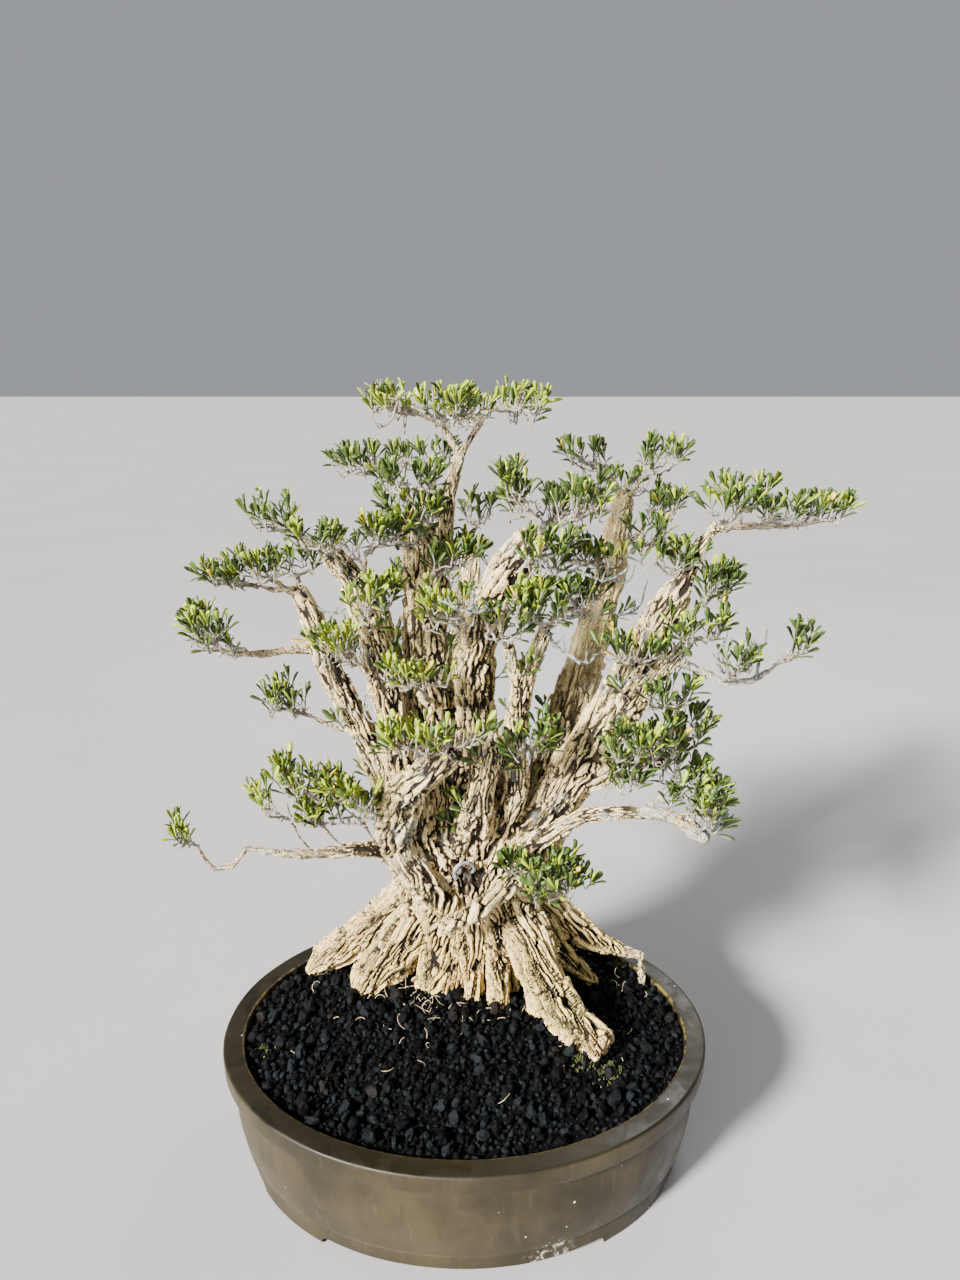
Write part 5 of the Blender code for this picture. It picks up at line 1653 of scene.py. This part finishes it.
relief(tree, shader, cloudy(tree, place, 0.0005), 0.0003)
finish_tubes("moss", moss, 5, moss_skin, [], smooth=False)

# Leaves
# Narrow leathery leaves in crossed pairs up every shoot: widest past the middle, folded a little along
# the rib and blunt at the tip. New leaves are yellow-green, old ones dark, and a few turn yellow.
LEAF_LENGTHS = (0.0130, 0.0190)
LEAF_WIDTH_SHARE = 0.28
LEAF_THICKNESS_SHARE = 0.035
# How wide the leaf is along its length, both as shares of the most
LEAF_OUTLINE = ((0.10, 0.15), (0.40, 0.52), (0.70, 0.96), (0.88, 0.92), (0.97, 0.52))
LEAF_OPENING_DEGREES = (13, 52)
PAIR_SPACING = 0.0040
LOST_LEAVES = 0.08
YELLOW_LEAVES = 0.009
# More of the bright new leaves on the sprays at the sunny side and fewer on the rest: painted sunlight and
# shade
FRESH_SHARE_PAINTED_SUNLIT = 0.74
FRESH_SHARE_PAINTED_SHADED = 0.34
PAINTED_SUNLIT_SPRAYS = ("front_left", "front_mid", "cut_limb", "low_left", "cross", "crown")
# The fold and the curl of each leaf shape
LEAF_SHAPES = ((0.55, 0.05), (0.40, 0.16), (0.70, -0.06))
# The dull and the bright end of each kind's colours
LEAF_COLOURS = {
    "fresh_leaves": ((0.048, 0.092, 0.004, 1.0), (0.235, 0.305, 0.012, 1.0)),
    "dark_leaves": ((0.006, 0.018, 0.002, 1.0), (0.036, 0.068, 0.005, 1.0)),
    "yellow_leaves": ((0.400, 0.330, 0.016, 1.0), (0.420, 0.300, 0.016, 1.0)),
}


def leaf_shape(name, fold, curl):
    """A closed leaf along +Y, one unit long, its edges lifted by a fold and its end bent by a curl."""
    work = bmesh.new()
    base = work.verts.new((0.0, 0.0, 0.0))
    tip = work.verts.new((0.0, 1.0, -curl))
    rings = []
    for along, share in LEAF_OUTLINE:
        half = share * LEAF_WIDTH_SHARE / 2
        drop = -curl * along**2
        thick = LEAF_THICKNESS_SHARE / 2
        section = ((-half, fold * half), (0.0, -thick), (half, fold * half), (0.0, thick))
        rings.append([work.verts.new((across, along, drop + lift)) for across, lift in section])
    for lower, upper in zip(rings, rings[1:]):
        for side in range(4):
            after = (side + 1) % 4
            work.faces.new((lower[side], lower[after], upper[after], upper[side]))
    for side in range(4):
        after = (side + 1) % 4
        work.faces.new((base, rings[0][after], rings[0][side]))
        work.faces.new((tip, rings[-1][side], rings[-1][after]))
    bmesh.ops.recalc_face_normals(work, faces=work.faces)
    mesh = mesh_from(work, name)
    points = mesh_points(mesh)
    add_attribute(mesh, "rib", np.abs(points[:, 0]) / (LEAF_WIDTH_SHARE / 2))
    add_attribute(mesh, "along", points[:, 1])
    mesh.shade_smooth()
    return bpy.data.objects.new(name, mesh)


def leaf_turn(axis, side, opening):
    """The turn of a leaf that leaves a shoot on one side, its upper face towards the shoot."""
    along = math.cos(opening) * axis + math.sin(opening) * side
    upper = math.sin(opening) * axis - math.cos(opening) * side
    across = np.cross(along, upper)
    return Matrix((across, along, upper)).transposed().to_quaternion()


def leaf_points(name, leaves):
    """A point for each leaf, which holds its turn, size, tone and kind."""
    places, turns, sizes, tones, kinds = zip(*leaves)
    mesh = bpy.data.meshes.new(name)
    mesh.from_pydata(places, [], [])
    turn = mesh.attributes.new("turn", "QUATERNION", "POINT")
    turn.data.foreach_set("value", np.array(turns, dtype=np.float32).ravel())
    add_attribute(mesh, "size", np.array(sizes))
    add_attribute(mesh, "tone", np.array(tones))
    kind = mesh.attributes.new("kind", "INT", "POINT")
    kind.data.foreach_set("value", kinds)
    return mesh


def leaf_placer():
    """Puts a leaf on every point by its turn, size and kind."""
    group, inputs, outputs = node_tree_with("Leaves on points", Leaves="Collection")
    values = {
        name: add_node(group, "GeometryNodeInputNamedAttribute", {"Name": name}, data_type=kind).outputs[0]
        for name, kind in (("turn", "QUATERNION"), ("size", "FLOAT_VECTOR"), ("kind", "INT"))
    }
    leaves = add_node(
        group, "GeometryNodeCollectionInfo", {"Collection": inputs["Leaves"], "Separate Children": True}
    )
    placed = add_node(
        group,
        "GeometryNodeInstanceOnPoints",
        {
            "Points": inputs["Geometry"],
            "Instance": leaves.outputs[0],
            "Pick Instance": True,
            "Instance Index": values["kind"],
            "Rotation": values["turn"],
            "Scale": values["size"],
        },
    )
    real = add_node(group, "GeometryNodeRealizeInstances", {"Geometry": placed.outputs[0]})
    return put_out(group, inputs, outputs, real.outputs[0])


def leaf_material(name, dull, bright):
    """Satin leaf skin between two colours, with a pale rib and a lighter foot."""
    material, tree, shader, place = new_material(name)
    rib = mesh_value(tree, "rib")
    along = mesh_value(tree, "along")
    blotches = calculate(tree, "SUBTRACT", cloudy(tree, place, 0.006), 0.5)
    patchy = calculate(tree, "ADD", mesh_value(tree, "tone"), blotches)
    colour = mix_colours(tree, band(tree, patchy, 0.0, 1.0), dull, bright)
    paler = tuple(min(1.0, 1.4 * level + 0.015) for level in bright[:3]) + (1.0,)
    colour = mix_colours(tree, band(tree, rib, 0.02, 0.22, 0.55, 0.0), colour, paler)
    colour = mix_colours(tree, band(tree, along, 0.25, 0.0, 0.5, 0.0), colour, paler)
    coat(tree, shader, colour, 0.40, 0.40)
    shader.inputs["Subsurface Weight"].default_value = 0.20
    shader.inputs["Subsurface Scale"].default_value = 0.0008
    relief(tree, shader, rib, 0.0002, 0.6)
    return material


leaf_kinds = bpy.data.collections.new("Leaf shapes")
for kind_number, (fold, curl) in enumerate(LEAF_SHAPES):
    leaf_kinds.objects.link(leaf_shape(f"Leaf shape {kind_number}", fold, curl))
beds = {bed_name: [] for bed_name in LEAF_COLOURS}
narrowest, widest = LEAF_OPENING_DEGREES
# Pairs of leaves down each shoot from its tip, each pair crossed over the one before
for shoot_number, (spray, nodes, vigour) in enumerate(leafy_shoots):
    draw = random.Random(9000 + shoot_number)
    places = [place for place, heading in nodes]
    lengths = [np.linalg.norm(b - a) for a, b in zip(places, places[1:])]
    pairs = min(2 + round(3.0 * vigour), 1 + round(sum(lengths) / PAIR_SPACING))
    turn_angle = draw.uniform(0, math.pi)
    painted_sunlit = spray.removeprefix("spray_").startswith(PAINTED_SUNLIT_SPRAYS)
    for pair in range(pairs):
        back = pair * PAIR_SPACING
        node = max(0, len(nodes) - 1 - round(back / SHOOT_STEP))
        place, heading = nodes[node]
        place = place + draw.uniform(-0.5, 0.3) * SHOOT_STEP * heading
        opening = narrowest + (widest - narrowest) * pair / pairs
        sideways = unit(np.cross(heading, (0.31, 0.87, 0.12)))
        other = np.cross(heading, sideways)
        angle = turn_angle + pair * math.pi / 2
        for flip in (1, -1):
            side = flip * (math.cos(angle) * sideways + math.sin(angle) * other)
            length = draw.uniform(*LEAF_LENGTHS) * (0.80 if pair == 0 else 1.0)
            spread = math.radians(opening + draw.uniform(-8, 12))
            turn = leaf_turn(heading, side, spread)
            end = place + length * (math.cos(spread) * heading + math.sin(spread) * side)
            if not inside_box(end, -0.002) or draw.random() < LOST_LEAVES:
                continue
            width = length * draw.uniform(0.92, 1.15)
            fresh = draw.random() < (FRESH_SHARE_PAINTED_SUNLIT if painted_sunlit else FRESH_SHARE_PAINTED_SHADED) - 0.15 * pair
            bed = "fresh_leaves" if fresh else "dark_leaves"
            if draw.random() < YELLOW_LEAVES:
                bed = "yellow_leaves"
            tone = draw.random()
            kind = draw.randrange(len(LEAF_SHAPES))
            beds[bed].append((tuple(place), tuple(turn), (width, length, width), tone, kind))
placer = leaf_placer()
for bed_name, (dull, bright) in LEAF_COLOURS.items():
    leaves = mesh_object(bed_name, leaf_points(bed_name, beds[bed_name]))
    material = leaf_material(bed_name.replace("_", " ").capitalize(), dull, bright)
    run_nodes(leaves, placer, {"Leaves": leaf_kinds, "Material": material})
    finish_piece(leaves, sprays)
